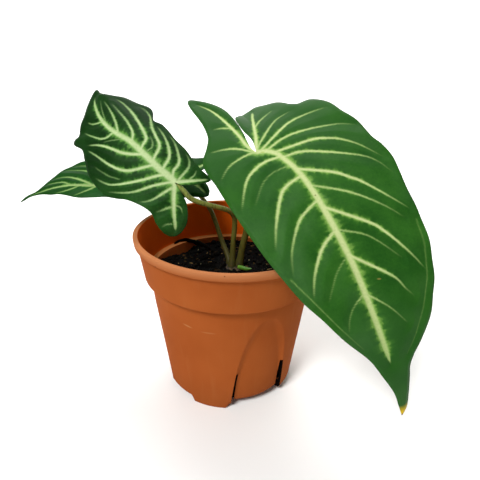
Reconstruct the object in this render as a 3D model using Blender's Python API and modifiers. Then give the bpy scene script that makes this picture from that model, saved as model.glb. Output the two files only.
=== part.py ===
"""A potted caladium: three arrow-shaped leaves on arching stalks, in a terracotta plastic pot.

Sizes are millimetres in the pot's own frame: the pot's axis is z, and z = 0 is the surface
that its three feet stand on. The camera side of the plant is -y. Every object hangs from one
empty, which puts the middle of the whole plant's footprint at the world origin.
"""

import math

import bmesh
import bpy
import numpy as np

MM = 0.001
AXIS_PLACE = (12.8, 4.8)
GAP = 0.3

# Pot: an 11 cm injection-moulded nursery pot.
RIM_RADIUS = 55.0
POT_HEIGHT = 94.2
LIP_HEIGHT = 3.2
MOUTH_RADIUS = 52.15
COLLAR_FOOT = 70.0
COLLAR_FOOT_RADIUS = 49.5
WALL = 1.5
WALL_TOP_RADIUS = 46.4
BASE_LEVEL = 6.5
BASE_RADIUS = 38.7
FLOOR = 2.0
FOOT_RADIUS = 38.0
FOOT_RING = 34.8
FOOT_GAP_TOP = BASE_LEVEL + 0.2
TURN_STEPS = 84

# Three arched recesses are pressed into the wall. Angles run from the camera side to +x.
RECESS_CENTRES = (27.0, -85.0, 150.0)
RECESS_HALF_WIDTH = 24.4
RECESS_TOP = 61.7
RECESS_DEPTH = 1.7
SLOT_WIDTH = 1.2
SLOT_TOP = 26.0
FOOT_ARCS = ((-32.6, -1.1), (92.0, 123.5), (-143.0, -111.5))

# Soil and the crown of the tuber that the stalks grow from.
SOIL_LEVEL = 68.4
SOIL_BUMP = 0.7
CROWN_PLACE = (1.6, 5.0)
CROWN_RADIUS = 7.5
CROWN_TOP = 69.6
CROWN_DEPTH = 12.0

BLADE = 0.8

# Leaves. x runs from the joint to the tip, y to the leaf's own left, seen from its upper face.
# Each half has the edge of the sinus, from the joint to the lobe's tip, then the outer edge,
# first round the lobe to the shoulder and then along the side to the leaf's tip.
FRONT_LEAF = {
    "joint": (11.6, -7.3, 140.5),
    "heading": -32.0,
    "pitch": 53.0,
    "roll": 52.0,
    "length": 156.0,
    "arch": 26.0,
    "droop": 3.0,
    "fold": (0.08, -0.2),
    "lobe_drop": (12.0, 0.0),
    "wave": (0.2, 20.0, 0.7, 26.0),
    "midrib": [(0, 0), (1.6, 3.4), (6, 8.3), (12.3, 10.3), (18.5, 12), (27, 12.6), (39, 12.4),
               (64, 10.9), (90.5, 7.5), (115, 5.3), (138.5, 4), (148.5, 2.1), (156.8, -0.9)],
    "left": {
        "sinus": [(0, 0), (-2.7, 0.9), (-6.4, 1.8), (-9.7, 1.7), (-14, 1), (-20, 1),
                  (-24.8, 1.9), (-26.6, 5.5)],
        "lobe": [(-26.6, 5.5), (-27.4, 12), (-28, 17.5), (-25.5, 23), (-23.5, 27.7), (-20.5, 30.4),
                 (-17.3, 32), (-14.3, 35.2), (-13.8, 39), (-13, 42.5), (-9.6, 46.1), (-5, 48.7)],
        "side": [(2, 50.3), (8.2, 52.8), (13, 53.8), (22, 53.8), (28, 55.6), (35.5, 56.4),
                 (44, 54.4), (55.5, 52.4), (65.5, 51), (75, 49.6), (85, 46.5), (96.5, 41.6),
                 (106, 35.8), (113.5, 30.2), (119.5, 23.2), (124.5, 17), (129, 13), (134, 10.9),
                 (144.5, 6.7), (152, 3.4), (156.8, -0.9)],
    },
    "right": {
        "sinus": [(0, 0), (-3.5, -0.9), (-8.3, -0.5), (-13.1, 0.3), (-20, 0.8), (-24.5, 0.9),
                  (-30, 0.1), (-35.6, -1.5), (-41.5, -4.6), (-46.5, -8.2), (-51.8, -13), (-52.4, -15)],
        "lobe": [(-52.4, -15), (-50, -16.3), (-43.3, -16.5), (-36, -16), (-28, -16),
                 (-21, -17.3), (-17.5, -19.3), (-14.4, -21.8), (-11.4, -24.7), (-8.2, -26.7), (-3.8, -27.4)],
        "side": [(1, -27.2), (5, -26.6), (15.5, -26.2), (26.5, -25.5), (36.5, -24.6), (47.5, -23.4),
                 (57.5, -21.8), (73, -18.7), (84.5, -14.8), (98.5, -10.5), (114, -4.3),
                 (125.5, -2.1), (139, -0.1), (148.5, -0.5), (156.8, -0.9)],
    },
    "rows": (9, 24),
    "columns": 8,
}

LEFT_LEAF = {
    "joint": (-30.0, -10.5, 124.5),
    "heading": 137.0,
    "pitch": -30.5,
    "roll": -45.0,
    "length": 79.0,
    "arch": 7.0,
    "droop": 8.0,
    "fold": (0.08, 0.6),
    "lobe_drop": (0.0, 0.0),
    "wave": (0.2, 13.0, 0.6, 15.0),
    "midrib": [(0, 0), (7.3, 0.7), (15.6, 1.7), (24, 2.3), (32, 3.3), (40, 5.6), (48, 7.2),
               (56, 7.8), (63.4, 7.1), (71, 5), (75, 3), (79.3, -0.3)],
    "left": {
        "sinus": [(0, 0), (-4, 0.6), (-7.3, 1.2), (-11, 2.4), (-15, 5.5), (-18, 9.3), (-19.1, 13.9),
                  (-18.6, 17.8)],
        "lobe": [(-18.6, 17.8), (-16.6, 20.4), (-13.1, 21.8), (-7.8, 21.4), (-3.5, 20)],
        "side": [(0, 20.2), (5, 22), (11.6, 25.4), (18.8, 31.3), (23, 33), (28, 33.5), (33, 33.3),
                 (39.5, 32), (45.3, 29.2), (50, 27.3), (53.6, 27.3), (58, 28.9), (60.3, 28), (61, 26),
                 (60.6, 24), (64.2, 20.5), (68, 15.8), (73.8, 8.7), (78.2, 2.6), (79.3, -0.3)],
    },
    "right": {
        "sinus": [(0, 0), (-2.9, -1.9), (-5.4, -6.7), (-6.8, -12.8), (-6.6, -15.4)],
        "lobe": [(-6.6, -15.4), (-4.5, -15.9), (0.2, -15.2)],
        "side": [(3.5, -15.3), (7.5, -15.4), (14, -16), (22, -15.4), (27, -15.7), (33.4, -15.5),
                 (37.9, -13.4), (43.7, -16), (48, -16.6), (53.5, -13.6), (62.4, -9.7), (67, -6),
                 (73.4, -1.4), (77.5, -1.2), (79.3, -0.3)],
    },
    "rows": (6, 20),
    "columns": 6,
}

BACK_LEAF = {
    "joint": (-28.5, 19.0, 119.5),
    "heading": -177.5,
    "pitch": 8.5,
    "roll": -30.0,
    "length": 96.0,
    "arch": 7.0,
    "droop": 6.0,
    "fold": (0.12, 0.12),
    "lobe_drop": (0.0, 0.0),
    "wave": (0.2, 15.0, 0.6, 15.0),
    "midrib": [(0, 0), (20, 1.5), (40, 3.6), (51, 3.7), (57, 2.3), (65, 0.4), (76, -0.4), (84, 0.1),
               (90, 0.4), (95.3, 2.6)],
    "left": {
        "sinus": [(0, 0), (-4, 0.8), (-9, 1.6), (-12.5, 3.8), (-13.9, 8)],
        "lobe": [(-13.9, 8), (-13, 11.3), (-10.5, 12.8), (-5, 13.5)],
        "side": [(2, 14.5), (12, 16), (24, 16), (36, 14.5), (44, 12.4), (49, 11.8), (56, 11),
                 (60.7, 9.6), (66, 7.2), (71, 5.1), (76, 4), (81, 2.2), (85.7, 1.3), (89.5, 1.2),
                 (92.5, 2.1), (95.3, 2.6)],
    },
    "right": {
        "sinus": [(0, 0), (-3, -1.5), (-7, -5), (-12, -10), (-18, -18)],
        "lobe": [(-18, -18), (-16, -20.3), (-11.6, -21.3), (-4.5, -20.4)],
        "side": [(3, -20.8), (12, -23), (24, -25), (36, -25.5), (48, -24), (56, -21.8), (62.6, -20),
                 (68.3, -17.8), (73.6, -14), (78, -9.4), (83.2, -3.4), (86.5, -1.1), (90, -0.5),
                 (93, 0.7), (95.3, 2.6)],
    },
    "rows": (5, 18),
    "columns": 6,
}

# Stalks: the route of each one's middle line from the crown up, its radius at the crown and
# at the blade, and how far ahead of the joint it meets the blade's under side.
FRONT_STALK = {
    "route": [(4.8, 4.5, 71), (5.5, 4.6, 74.8), (6.2, 4.7, 80.5), (7.4, 4.9, 86.7),
              (8.4, 4.9, 91.7), (9.6, 4.4, 103.7), (10.7, 2.4, 117), (11.4, -1, 129)],
    "radii": (2.1, 1.7),
    "seat": 2.0,
}
LEFT_STALK = {
    "route": [(0.5, 3.6, 71), (0.8, 4.7, 78.3), (1.1, 5.4, 86.2), (1.6, 5.5, 94.1),
              (1.3, 4.3, 100.3), (-0.8, 1.8, 104.4), (-4.3, -0.8, 107.1), (-13.5, -5.9, 111.2),
              (-21.6, -9, 115.2), (-25.2, -9.4, 119.2)],
    "radii": (1.7, 1.4),
    "seat": 1.5,
}
BACK_STALK = {
    "route": [(-1, 7.7, 71), (-2.6, 9.9, 75), (-5, 12.9, 79.8), (-7.5, 15.7, 85.7),
              (-10.3, 18.7, 92.8), (-13.1, 20.4, 99), (-16.5, 21, 104), (-22, 20.9, 110.6)],
    "radii": (1.7, 1.3),
    "seat": 1.5,
}
STALK_POINTS = 23
STALK_FOOT = CROWN_TOP + GAP

SPROUT_ROUTE = [(4.2, -0.2, 71.3), (6.6, -1.8, 71.5), (9.2, -3.4, 71.7), (11.8, -4.8, 72.6)]
SPROUT_RADII = (1.3, 0.35)


def clear_scene():
    for obj in list(bpy.data.objects):
        bpy.data.objects.remove(obj)


def new_collection(name):
    made = bpy.data.collections.new(name)
    bpy.context.scene.collection.children.link(made)
    return made


def material(name, colour, roughness):
    made = bpy.data.materials.new(name)
    made.use_nodes = True
    shader = made.node_tree.nodes["Principled BSDF"]
    shader.inputs["Base Color"].default_value = (*colour, 1.0)
    shader.inputs["Roughness"].default_value = roughness
    shader.inputs["Metallic"].default_value = 0.0
    return made


def add_object(name, data, collection, axis, finish=None):
    obj = bpy.data.objects.new(name, data)
    collection.objects.link(obj)
    obj.parent = axis
    if finish is not None:
        data.materials.append(finish)
    return obj


def add_cutter(name, mesh, collection, axis):
    obj = add_object(name, mesh, collection, axis)
    obj.hide_render = True
    obj.display_type = "WIRE"
    return obj


def mesh_from(name, points, faces):
    """A mesh from points in millimetres, with points that coincide made one."""
    mesh = bpy.data.meshes.new(name)
    mesh.from_pydata((np.asarray(points, float) * MM).tolist(), [], faces)
    bm = bmesh.new()
    bm.from_mesh(mesh)
    bmesh.ops.remove_doubles(bm, verts=bm.verts, dist=0.02 * MM)
    bm.to_mesh(mesh)
    bm.free()
    return mesh


def boolean(obj, cutter, operation):
    modifier = obj.modifiers.new(cutter.name, "BOOLEAN")
    modifier.operation = operation
    modifier.solver = "EXACT"
    modifier.object = cutter


def shade_round(obj, degrees=35):
    obj.data.shade_smooth()
    obj.data.set_sharp_from_angle(angle=math.radians(degrees))


def smooth_line(points, count):
    """Count points at even steps along a Catmull-Rom curve through the given points."""
    p = np.asarray(points, float)
    ends = np.vstack([2 * p[0] - p[1], p, 2 * p[-1] - p[-2]])
    t = np.linspace(0, 1, 24, endpoint=False)[:, None]
    runs = []
    for a, b, c, d in zip(ends[:-3], ends[1:-2], ends[2:-1], ends[3:]):
        slope_b, slope_c = (c - a) / 2, (d - b) / 2
        runs.append(
            (2 * t**3 - 3 * t**2 + 1) * b
            + (t**3 - 2 * t**2 + t) * slope_b
            + (3 * t**2 - 2 * t**3) * c
            + (t**3 - t**2) * slope_c
        )
    curve = np.vstack([*runs, p[-1:]])
    steps = np.linalg.norm(np.diff(curve, axis=0), axis=1)
    along = np.concatenate([[0], np.cumsum(steps)])
    wanted = np.linspace(0, along[-1], count)
    return np.stack([np.interp(wanted, along, column) for column in curve.T], axis=1)


def turned(name, profile, collection, axis, finish):
    """A solid of revolution: the profile is (radius, height) pairs, down the outer side last."""
    points = [(r, 0.0, z) for r, z in profile]
    edges = [(i, i + 1) for i in range(len(points) - 1)]
    mesh = bpy.data.meshes.new(name)
    mesh.from_pydata((np.array(points) * MM).tolist(), edges, [])
    obj = add_object(name, mesh, collection, axis, finish)
    screw = obj.modifiers.new("turn", "SCREW")
    screw.steps = TURN_STEPS
    screw.render_steps = TURN_STEPS
    screw.use_merge_vertices = True
    screw.merge_threshold = 0.00001
    screw.use_normal_calculate = False
    return obj


def wall_radius(height):
    """Outer radius of the pot's wall below the collar, a plain cone."""
    share = (height - BASE_LEVEL) / (COLLAR_FOOT - BASE_LEVEL)
    return BASE_RADIUS + (WALL_TOP_RADIUS - BASE_RADIUS) * share


def recess_half_width(height):
    """Half of the recess's width in degrees: nearly straight sides that close in a round arch."""
    t = min(max((height - BASE_LEVEL) / (RECESS_TOP - BASE_LEVEL), 0.0), 1.0)
    return RECESS_HALF_WIDTH * (1 - 0.34 * t) * math.sqrt(1 - t**4)


def wall_blocks(name, rows_of_blocks, across):
    """Closed blocks on the pot's wall. A block's rows are (height, angle, angle, radius, radius)."""
    points, faces = [], []
    for rows in rows_of_blocks:
        start = len(points)
        for height, first, last, inner, outer in rows:
            angles = np.radians(np.linspace(first, last, across))
            for radius, order in ((inner, angles), (outer, angles[::-1])):
                points += [(radius * math.sin(a), -radius * math.cos(a), height) for a in order]
        ring = 2 * across
        for row in range(len(rows) - 1):
            low = start + row * ring
            for i in range(ring):
                j = (i + 1) % ring
                faces.append((low + i, low + ring + i, low + ring + j, low + j))
        faces.append(tuple(range(start, start + ring)))
        faces.append(tuple(reversed(range(start + (len(rows) - 1) * ring, start + len(rows) * ring))))
    mesh = mesh_from(name, points, faces)
    bm = bmesh.new()
    bm.from_mesh(mesh)
    bmesh.ops.recalc_face_normals(bm, faces=bm.faces)
    bm.to_mesh(mesh)
    bm.free()
    return mesh


def arch_rows(centre, wider, bottom, top_extra, inner, outer):
    """Rows of a block with the recess's outline, wider by an angle and taller by top_extra."""
    heights = np.concatenate([[bottom], np.linspace(12, RECESS_TOP - 9, 6),
                              RECESS_TOP - np.array([5.0, 2.5, 0.9, 0.0])])
    rows = []
    for height in heights:
        half = max(recess_half_width(height), 0.9) + wider
        lifted = height + top_extra * max(0.0, (height - bottom) / (RECESS_TOP - bottom))
        wall = wall_radius(lifted)
        rows.append((lifted, centre - half, centre + half, wall + inner, wall + outer))
    return rows


def pot_profile():
    inner_base = wall_radius(BASE_LEVEL + FLOOR + 1.1) - WALL
    ledge = COLLAR_FOOT + WALL + 0.2
    lip_foot = POT_HEIGHT - LIP_HEIGHT
    return [
        (0, BASE_LEVEL + FLOOR), (inner_base - 1.2, BASE_LEVEL + FLOOR),
        (inner_base, BASE_LEVEL + FLOOR + 1.1), (wall_radius(ledge) - WALL, ledge),
        (COLLAR_FOOT_RADIUS - WALL + 0.1, ledge), (MOUTH_RADIUS, POT_HEIGHT - 0.6),
        (MOUTH_RADIUS + 0.5, POT_HEIGHT), (RIM_RADIUS - 0.6, POT_HEIGHT),
        (RIM_RADIUS, POT_HEIGHT - 0.7), (RIM_RADIUS - 0.5, lip_foot + 0.5),
        (RIM_RADIUS - 1.0, lip_foot), (RIM_RADIUS - 1.7, lip_foot),
        (COLLAR_FOOT_RADIUS, COLLAR_FOOT + 0.6), (COLLAR_FOOT_RADIUS - 0.5, COLLAR_FOOT),
        (WALL_TOP_RADIUS, COLLAR_FOOT), (BASE_RADIUS, BASE_LEVEL), (FOOT_RADIUS, 0),
        (FOOT_RING, 0), (FOOT_RING, BASE_LEVEL), (0, BASE_LEVEL),
    ]


def foot_gap_rows():
    """The stretches between the feet, open below the base, with the wall's lower edge chamfered."""
    ordered = sorted(FOOT_ARCS)
    starts = [arc[1] for arc in ordered]
    ends = [arc[0] for arc in ordered[1:]] + [ordered[0][0] + 360.0]
    edge = wall_radius(BASE_LEVEL + 3.0)
    blocks = []
    for first, last in zip(starts, ends):
        blocks.append([
            (-1.0, first + 1.6, last - 1.6, FOOT_RING - 2, edge + 3),
            (FOOT_GAP_TOP, first, last, FOOT_RING - 2, edge + 3),
            (FOOT_GAP_TOP, first, last, edge - 2.1, edge + 3),
            (FOOT_GAP_TOP + 3.0, first, last, edge + 0.2, edge + 3),
        ])
    return blocks


def slot_rows():
    """Narrow drain slots through the wall at both bottom corners of each recess."""
    blocks = []
    for centre in RECESS_CENTRES:
        for side in (-1, 1):
            rows = []
            for height in np.linspace(BASE_LEVEL + FLOOR + 0.8, SLOT_TOP, 4):
                outer = recess_half_width(height) - 0.2
                wide = math.degrees(SLOT_WIDTH / wall_radius(height))
                angles = sorted((centre + side * outer, centre + side * (outer - wide)))
                wall = wall_radius(height)
                rows.append((height, *angles, wall - 6, wall + 3))
            blocks.append(rows)
    return blocks


def make_pot(collection, cutters, axis, finish):
    pot = turned("pot", pot_profile(), collection, axis, finish)
    skin = RECESS_DEPTH + WALL
    pads = [arch_rows(c, 2.2, BASE_LEVEL + 0.5, 1.6, -skin, -0.8) for c in RECESS_CENTRES]
    pockets = [arch_rows(c, 0.0, BASE_LEVEL - 1.5, 0.0, -RECESS_DEPTH, 3) for c in RECESS_CENTRES]
    boolean(pot, add_cutter("recess_pads", wall_blocks("recess_pads", pads, 9), cutters, axis),
            "UNION")
    for name, blocks, across in (("recess_pockets", pockets, 9), ("drain_slots", slot_rows(), 3),
                                 ("foot_gaps", foot_gap_rows(), 26)):
        cutter = add_cutter(name, wall_blocks(name, blocks, across), cutters, axis)
        boolean(pot, cutter, "DIFFERENCE")
    shade_round(pot)
    return pot


def soil_height(x, y):
    """Soft lumps on the soil's top, a sum of three crossing waves."""
    lumps = np.sin(x / 5.3 + 0.6) * np.cos(y / 6.1 - 0.4) + 0.6 * np.sin((x + y) / 3.9)
    return SOIL_LEVEL + SOIL_BUMP * (lumps + 0.4 * np.cos((x - 1.7 * y) / 4.7)) / 1.6


def make_soil(collection, cutters, axis, finish):
    """Soil that fills the pot: a lathe-like grid of rings with a lumpy top and a flat bottom."""
    around = 48
    bottom = BASE_LEVEL + FLOOR + GAP
    top_radius = wall_radius(SOIL_LEVEL) - WALL - GAP
    bottom_radius = wall_radius(bottom) - WALL - GAP - 1.2
    rings = [(bottom_radius * s, None) for s in (0.0, 0.5, 1.0)]
    rings += [(wall_radius(bottom + 2) - WALL - GAP - 0.3, bottom + 2.0)]
    rings += [(top_radius * s, "top") for s in (1.0, 0.86, 0.7, 0.54, 0.38, 0.2, 0.0)]
    angles = np.linspace(0, 2 * math.pi, around, endpoint=False)
    points, faces = [], []
    for radius, level in rings:
        x, y = radius * np.cos(angles), radius * np.sin(angles)
        if level == "top":
            z = soil_height(x, y)
        else:
            z = np.full(around, bottom if level is None else level)
        points += np.stack([x, y, z], axis=1).tolist()
    for ring in range(len(rings) - 1):
        for i in range(around):
            j = (i + 1) % around
            a, b = ring * around, (ring + 1) * around
            faces.append((a + i, a + j, b + j, b + i))
    soil = add_object("soil", mesh_from("soil", points, faces), collection, axis, finish)
    skin = RECESS_DEPTH + WALL + GAP
    clear = [arch_rows(c, 2.8, BASE_LEVEL - 1.5, 2.2, -skin, 3) for c in RECESS_CENTRES]
    boolean(soil, add_cutter("soil_clearance", wall_blocks("soil_clearance", clear, 9), cutters, axis),
            "DIFFERENCE")
    bpy.ops.mesh.primitive_cylinder_add(
        vertices=32, radius=(CROWN_RADIUS + GAP + 0.1) * MM, depth=(CROWN_DEPTH + 8) * MM
    )
    hole = bpy.context.object
    hole.name = "crown_hole"
    for other in list(hole.users_collection):
        other.objects.unlink(hole)
    cutters.objects.link(hole)
    hole.parent = axis
    hole.location = (CROWN_PLACE[0] * MM, CROWN_PLACE[1] * MM,
                     (CROWN_TOP - CROWN_DEPTH - GAP + (CROWN_DEPTH + 8) / 2) * MM)
    hole.hide_render = True
    hole.display_type = "WIRE"
    boolean(soil, hole, "DIFFERENCE")
    shade_round(soil, 60)
    return soil


def make_crown(collection, axis, finish):
    """Top of the tuber, where the stalks join: a squat knob with a flat crown."""
    low = CROWN_TOP - CROWN_DEPTH
    profile = [(0, CROWN_TOP), (5.7, CROWN_TOP), (7.1, CROWN_TOP - 1.1), (CROWN_RADIUS, CROWN_TOP - 3.6),
               (6.4, low + 2.6), (3.2, low + 0.4), (0, low)]
    crown = turned("crown", profile, collection, axis, finish)
    crown.modifiers["turn"].steps = 28
    crown.modifiers["turn"].render_steps = 28
    crown.location = (CROWN_PLACE[0] * MM, CROWN_PLACE[1] * MM, 0)
    shade_round(crown)
    return crown


def leaf_axes(leaf):
    """Unit vectors of a leaf: forward to the tip, its own left, and out of the upper face."""
    heading, pitch, roll = (math.radians(leaf[k]) for k in ("heading", "pitch", "roll"))
    forward = np.array([math.cos(pitch) * math.cos(heading), math.cos(pitch) * math.sin(heading),
                        -math.sin(pitch)])
    level = np.array([-math.sin(heading), math.cos(heading), 0.0])
    left = math.cos(roll) * level + math.sin(roll) * np.cross(forward, level)
    return np.stack([forward, left, np.cross(forward, left)])


def leaf_height(leaf, x, y):
    """Height of the upper face over the leaf's flat plane: an arch from joint to tip, halves that
    droop and fold down from the midrib, lobes that drop back, and waves that grow to the edge."""
    s = x / leaf["length"]
    side = (y < 0).astype(int)
    fold = np.take(leaf["fold"], side)
    drop = np.take(leaf["lobe_drop"], side)
    size, step, slant, reach = leaf["wave"]
    back = np.clip(-x / 25, 0, 3) ** 2 * np.clip(np.abs(y) / 8, 0, 1)
    wave = np.sin(2 * math.pi * (x - slant * np.abs(y)) / step)
    return (leaf["arch"] * 4 * s * (1 - s) - leaf["droop"] * (y / 50) ** 2
            - fold * (np.sqrt(y**2 + 4) - 2) - drop * back
            + size * wave * np.clip(np.abs(y) / reach, 0, 1.4) ** 2)


def leaf_points(leaf, flat):
    """Points of the upper face, in the pot's frame, for flat (x, y) places on the leaf."""
    flat = np.asarray(flat, float)
    height = leaf_height(leaf, flat[..., 0], flat[..., 1])
    local = np.concatenate([flat, height[..., None]], axis=-1)
    return np.array(leaf["joint"]) + local @ leaf_axes(leaf)


def leaf_half(leaf, side):
    """Flat grid of one half: rows run from the lobe's tip to the leaf's, columns to the edge."""
    half = leaf[side]
    lobe_rows, blade_rows = leaf["rows"]
    outer = smooth_line(half["lobe"] + half["side"], 400)
    shoulder = np.argmin(np.linalg.norm(outer - np.array(half["side"][0]), axis=1))
    inner = np.vstack([smooth_line(half["sinus"], lobe_rows + 1)[::-1],
                       smooth_line(leaf["midrib"], blade_rows + 1)[1:]])
    places = np.concatenate([np.linspace(0, shoulder, lobe_rows + 1),
                             np.linspace(shoulder, 399, blade_rows + 1)[1:]])
    edge = np.stack([np.interp(places, np.arange(400), column) for column in outer.T], axis=1)
    across = np.linspace(0, 1, leaf["columns"] + 1)[None, :, None]
    return inner[:, None] + (edge - inner)[:, None] * across


def make_blade(name, leaf, collection, axis, finish):
    """A leaf blade: both halves as triangles on the curved face, then given their thickness."""
    points, faces = [], []
    for side in ("left", "right"):
        grid = leaf_half(leaf, side)
        rows, columns = grid.shape[:2]
        start = len(points)
        points += leaf_points(leaf, grid).reshape(-1, 3).tolist()
        for r in range(rows - 1):
            for c in range(columns - 1):
                a = start + r * columns + c
                square = (a, a + columns, a + columns + 1, a + 1)
                if side == "right":
                    square = square[::-1]
                faces += [(square[0], square[1], square[2]), (square[0], square[2], square[3])]
    mesh = mesh_from(name, points, faces)
    blade = add_object(name, mesh, collection, axis, finish)
    solidify = blade.modifiers.new("thickness", "SOLIDIFY")
    solidify.thickness = BLADE * MM
    solidify.offset = -1.0
    solidify.use_even_offset = False
    blade.data.shade_smooth()
    return blade


def tube(name, line, radii, collection, axis, finish):
    """A round stem along a line, with a radius of its own at each point."""
    curve = bpy.data.curves.new(name, "CURVE")
    curve.dimensions = "3D"
    curve.bevel_depth = MM
    curve.bevel_resolution = 3
    curve.use_fill_caps = True
    curve.twist_mode = "MINIMUM"
    spline = curve.splines.new("POLY")
    spline.points.add(len(line) - 1)
    for point, place, radius in zip(spline.points, line, radii):
        point.co = (*(np.asarray(place) * MM), 1.0)
        point.radius = radius
    return add_object(name, curve, collection, axis, finish)


def make_stalk(name, stalk, leaf, collection, axis, finish):
    """A leaf stalk from the crown to just under its blade. Its first step is upright, so its end
    lies flat over the crown."""
    base, top = stalk["radii"]
    under = leaf_points(leaf, (stalk["seat"], 0.0)) - leaf_axes(leaf)[2] * (BLADE + GAP + top)
    line = smooth_line([*stalk["route"], tuple(under)], STALK_POINTS)
    line = np.vstack([[line[0][0], line[0][1], STALK_FOOT], line])
    share = np.linspace(0, 1, STALK_POINTS + 1)
    return tube(name, line, top + (base - top) * np.exp(-share * 5), collection, axis, finish)


def make_sprout(collection, axis, finish):
    """A new leaf still rolled in a small spike, lying out from the crown over the soil."""
    line = smooth_line(SPROUT_ROUTE, 8)
    base, tip = SPROUT_RADII
    radii = base + (tip - base) * np.linspace(0, 1, 8) ** 1.5
    return tube("sprout", line, radii, collection, axis, finish)


def main():
    clear_scene()
    plant = new_collection("potted_caladium")
    cutters = new_collection("cutters")
    axis = bpy.data.objects.new("pot_axis", None)
    plant.objects.link(axis)
    axis.location = (AXIS_PLACE[0] * MM, AXIS_PLACE[1] * MM, 0)

    terracotta = material("terracotta_plastic", (0.42, 0.12, 0.035), 0.5)
    peat = material("peat", (0.012, 0.008, 0.005), 0.95)
    tuber = material("tuber_skin", (0.09, 0.06, 0.025), 0.8)
    blade = material("leaf_blade", (0.03, 0.12, 0.03), 0.45)
    stalk = material("leaf_stalk", (0.16, 0.2, 0.05), 0.5)
    shoot = material("young_shoot", (0.3, 0.5, 0.08), 0.5)

    make_pot(plant, cutters, axis, terracotta)
    make_soil(plant, cutters, axis, peat)
    make_crown(plant, axis, tuber)
    for name, leaf, stem in (("front", FRONT_LEAF, FRONT_STALK), ("left", LEFT_LEAF, LEFT_STALK),
                             ("back", BACK_LEAF, BACK_STALK)):
        make_blade(name + "_leaf_blade", leaf, plant, axis, blade)
        make_stalk(name + "_leaf_stalk", stem, leaf, plant, axis, stalk)
    make_sprout(plant, axis, shoot)


main()
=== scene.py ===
# %% [markdown]
# # A potted caladium
#
# The plant has three arrow-shaped leaves on arching stalks, a rolled new leaf beside them, and
# an 11 cm nursery pot of terracotta-coloured plastic, filled with peat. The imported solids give
# every size and place. This lesson dresses them: each solid is replaced by a finer surface of
# the same form, which can carry veins, lumps and a real finish.

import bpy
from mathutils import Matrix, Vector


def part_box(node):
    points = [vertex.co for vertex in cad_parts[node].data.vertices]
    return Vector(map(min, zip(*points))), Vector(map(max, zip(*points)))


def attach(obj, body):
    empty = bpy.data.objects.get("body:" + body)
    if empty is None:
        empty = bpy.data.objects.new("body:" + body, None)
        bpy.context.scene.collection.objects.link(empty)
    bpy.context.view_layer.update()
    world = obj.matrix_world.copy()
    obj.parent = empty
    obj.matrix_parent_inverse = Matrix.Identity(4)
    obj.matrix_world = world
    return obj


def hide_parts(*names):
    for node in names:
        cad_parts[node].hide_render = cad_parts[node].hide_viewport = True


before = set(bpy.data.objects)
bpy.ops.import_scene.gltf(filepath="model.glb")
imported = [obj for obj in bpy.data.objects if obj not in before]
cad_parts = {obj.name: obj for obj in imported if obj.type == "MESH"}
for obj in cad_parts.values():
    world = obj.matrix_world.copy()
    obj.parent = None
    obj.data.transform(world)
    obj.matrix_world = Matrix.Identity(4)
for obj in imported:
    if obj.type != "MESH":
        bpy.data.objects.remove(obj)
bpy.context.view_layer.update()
print("solids:", ", ".join(sorted(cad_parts)))

# %% [markdown]
# ## Units and tools
#
# The plant is easiest to measure from the pot's axis in millimetres, with the camera on the -y
# side, so every shape below is worked out that way and only moved to its place in the mesh.
# The axis comes from the box of the pot's solid, because the rim is round.

# %% Units
import math

import bpy
import numpy as np
from mathutils import Matrix

MM = 0.001
pot_low, pot_high = (np.array(corner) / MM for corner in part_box("pot"))
AXIS = np.array([(pot_low[0] + pot_high[0]) / 2, (pot_low[1] + pot_high[1]) / 2, 0.0])
print("the pot's axis stands at", AXIS.round(2), "mm")

# %% [markdown]
# A smooth outline needs few points if a curve is run through them. This one passes through every
# point, and its slope at a point is that of the line between the two neighbours. It could be a
# curve object, but as an array it can be measured and used in a formula.

# %% A smooth line through points
CUBIC_STEPS = 24


def smooth_line(points, count):
    """Count points at even steps along a smooth curve: between two points it is the cubic whose
    ends have the slope of the line that joins the neighbours on either side."""
    p = np.asarray(points, float)
    ends = np.vstack([2 * p[0] - p[1], p, 2 * p[-1] - p[-2]])
    t = np.linspace(0, 1, CUBIC_STEPS, endpoint=False)[:, None]
    runs = []
    for a, b, c, d in zip(ends[:-3], ends[1:-2], ends[2:-1], ends[3:]):
        slope_b, slope_c = (c - a) / 2, (d - b) / 2
        runs.append(
            (2 * t**3 - 3 * t**2 + 1) * b
            + (t**3 - 2 * t**2 + t) * slope_b
            + (3 * t**2 - 2 * t**3) * c
            + (t**3 - t**2) * slope_c
        )
    curve = np.vstack([*runs, p[-1:]])
    along = np.concatenate([[0], np.cumsum(np.linalg.norm(np.diff(curve, axis=0), axis=1))])
    wanted = np.linspace(0, along[-1], count)
    return np.stack([np.interp(wanted, along, column) for column in curve.T], axis=1)


def smooth_step(low, high, value):
    """0 below low, 1 above high, and the curve 3t^2 - 2t^3 between them."""
    t = np.clip((value - low) / (high - low), 0, 1)
    return t * t * (3 - 2 * t)


print("a bow through three points:", smooth_line([(0, 0), (1, 1), (2, 0)], 5).round(2).tolist())

# %% [markdown]
# Each shape is a grid of points: one parameter runs along the rows and one along the columns.
# The grid's squares become triangles, points that lie on each other become one, and the sign of
# the volume tells whether the faces look outwards. A closed mesh's volume is the sum, over its
# triangles, of a . (b x c) / 6.

# %% From a grid to a piece


def grid_squares(rows, columns, closed=False):
    """Corner numbers of a grid's squares, counted row by row; closed joins last column to first."""
    r, c = np.meshgrid(np.arange(rows - 1), np.arange(columns - (not closed)), indexing="ij")
    a, b = (r * columns + c).ravel(), (r * columns + (c + 1) % columns).ravel()
    return np.stack([a, b, b + columns, a + columns], axis=1)


def welded(points, squares):
    """Triangles of the squares with double points made one: the kept points, and the triangles."""
    triangles = np.concatenate([squares[:, [0, 1, 2]], squares[:, [0, 2, 3]]])
    _, kept, same = np.unique(np.round(points, 3), axis=0, return_index=True, return_inverse=True)
    triangles = same.ravel()[triangles]
    a, b, c = triangles.T
    return kept, triangles[(a != b) & (b != c) & (c != a)]


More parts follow.
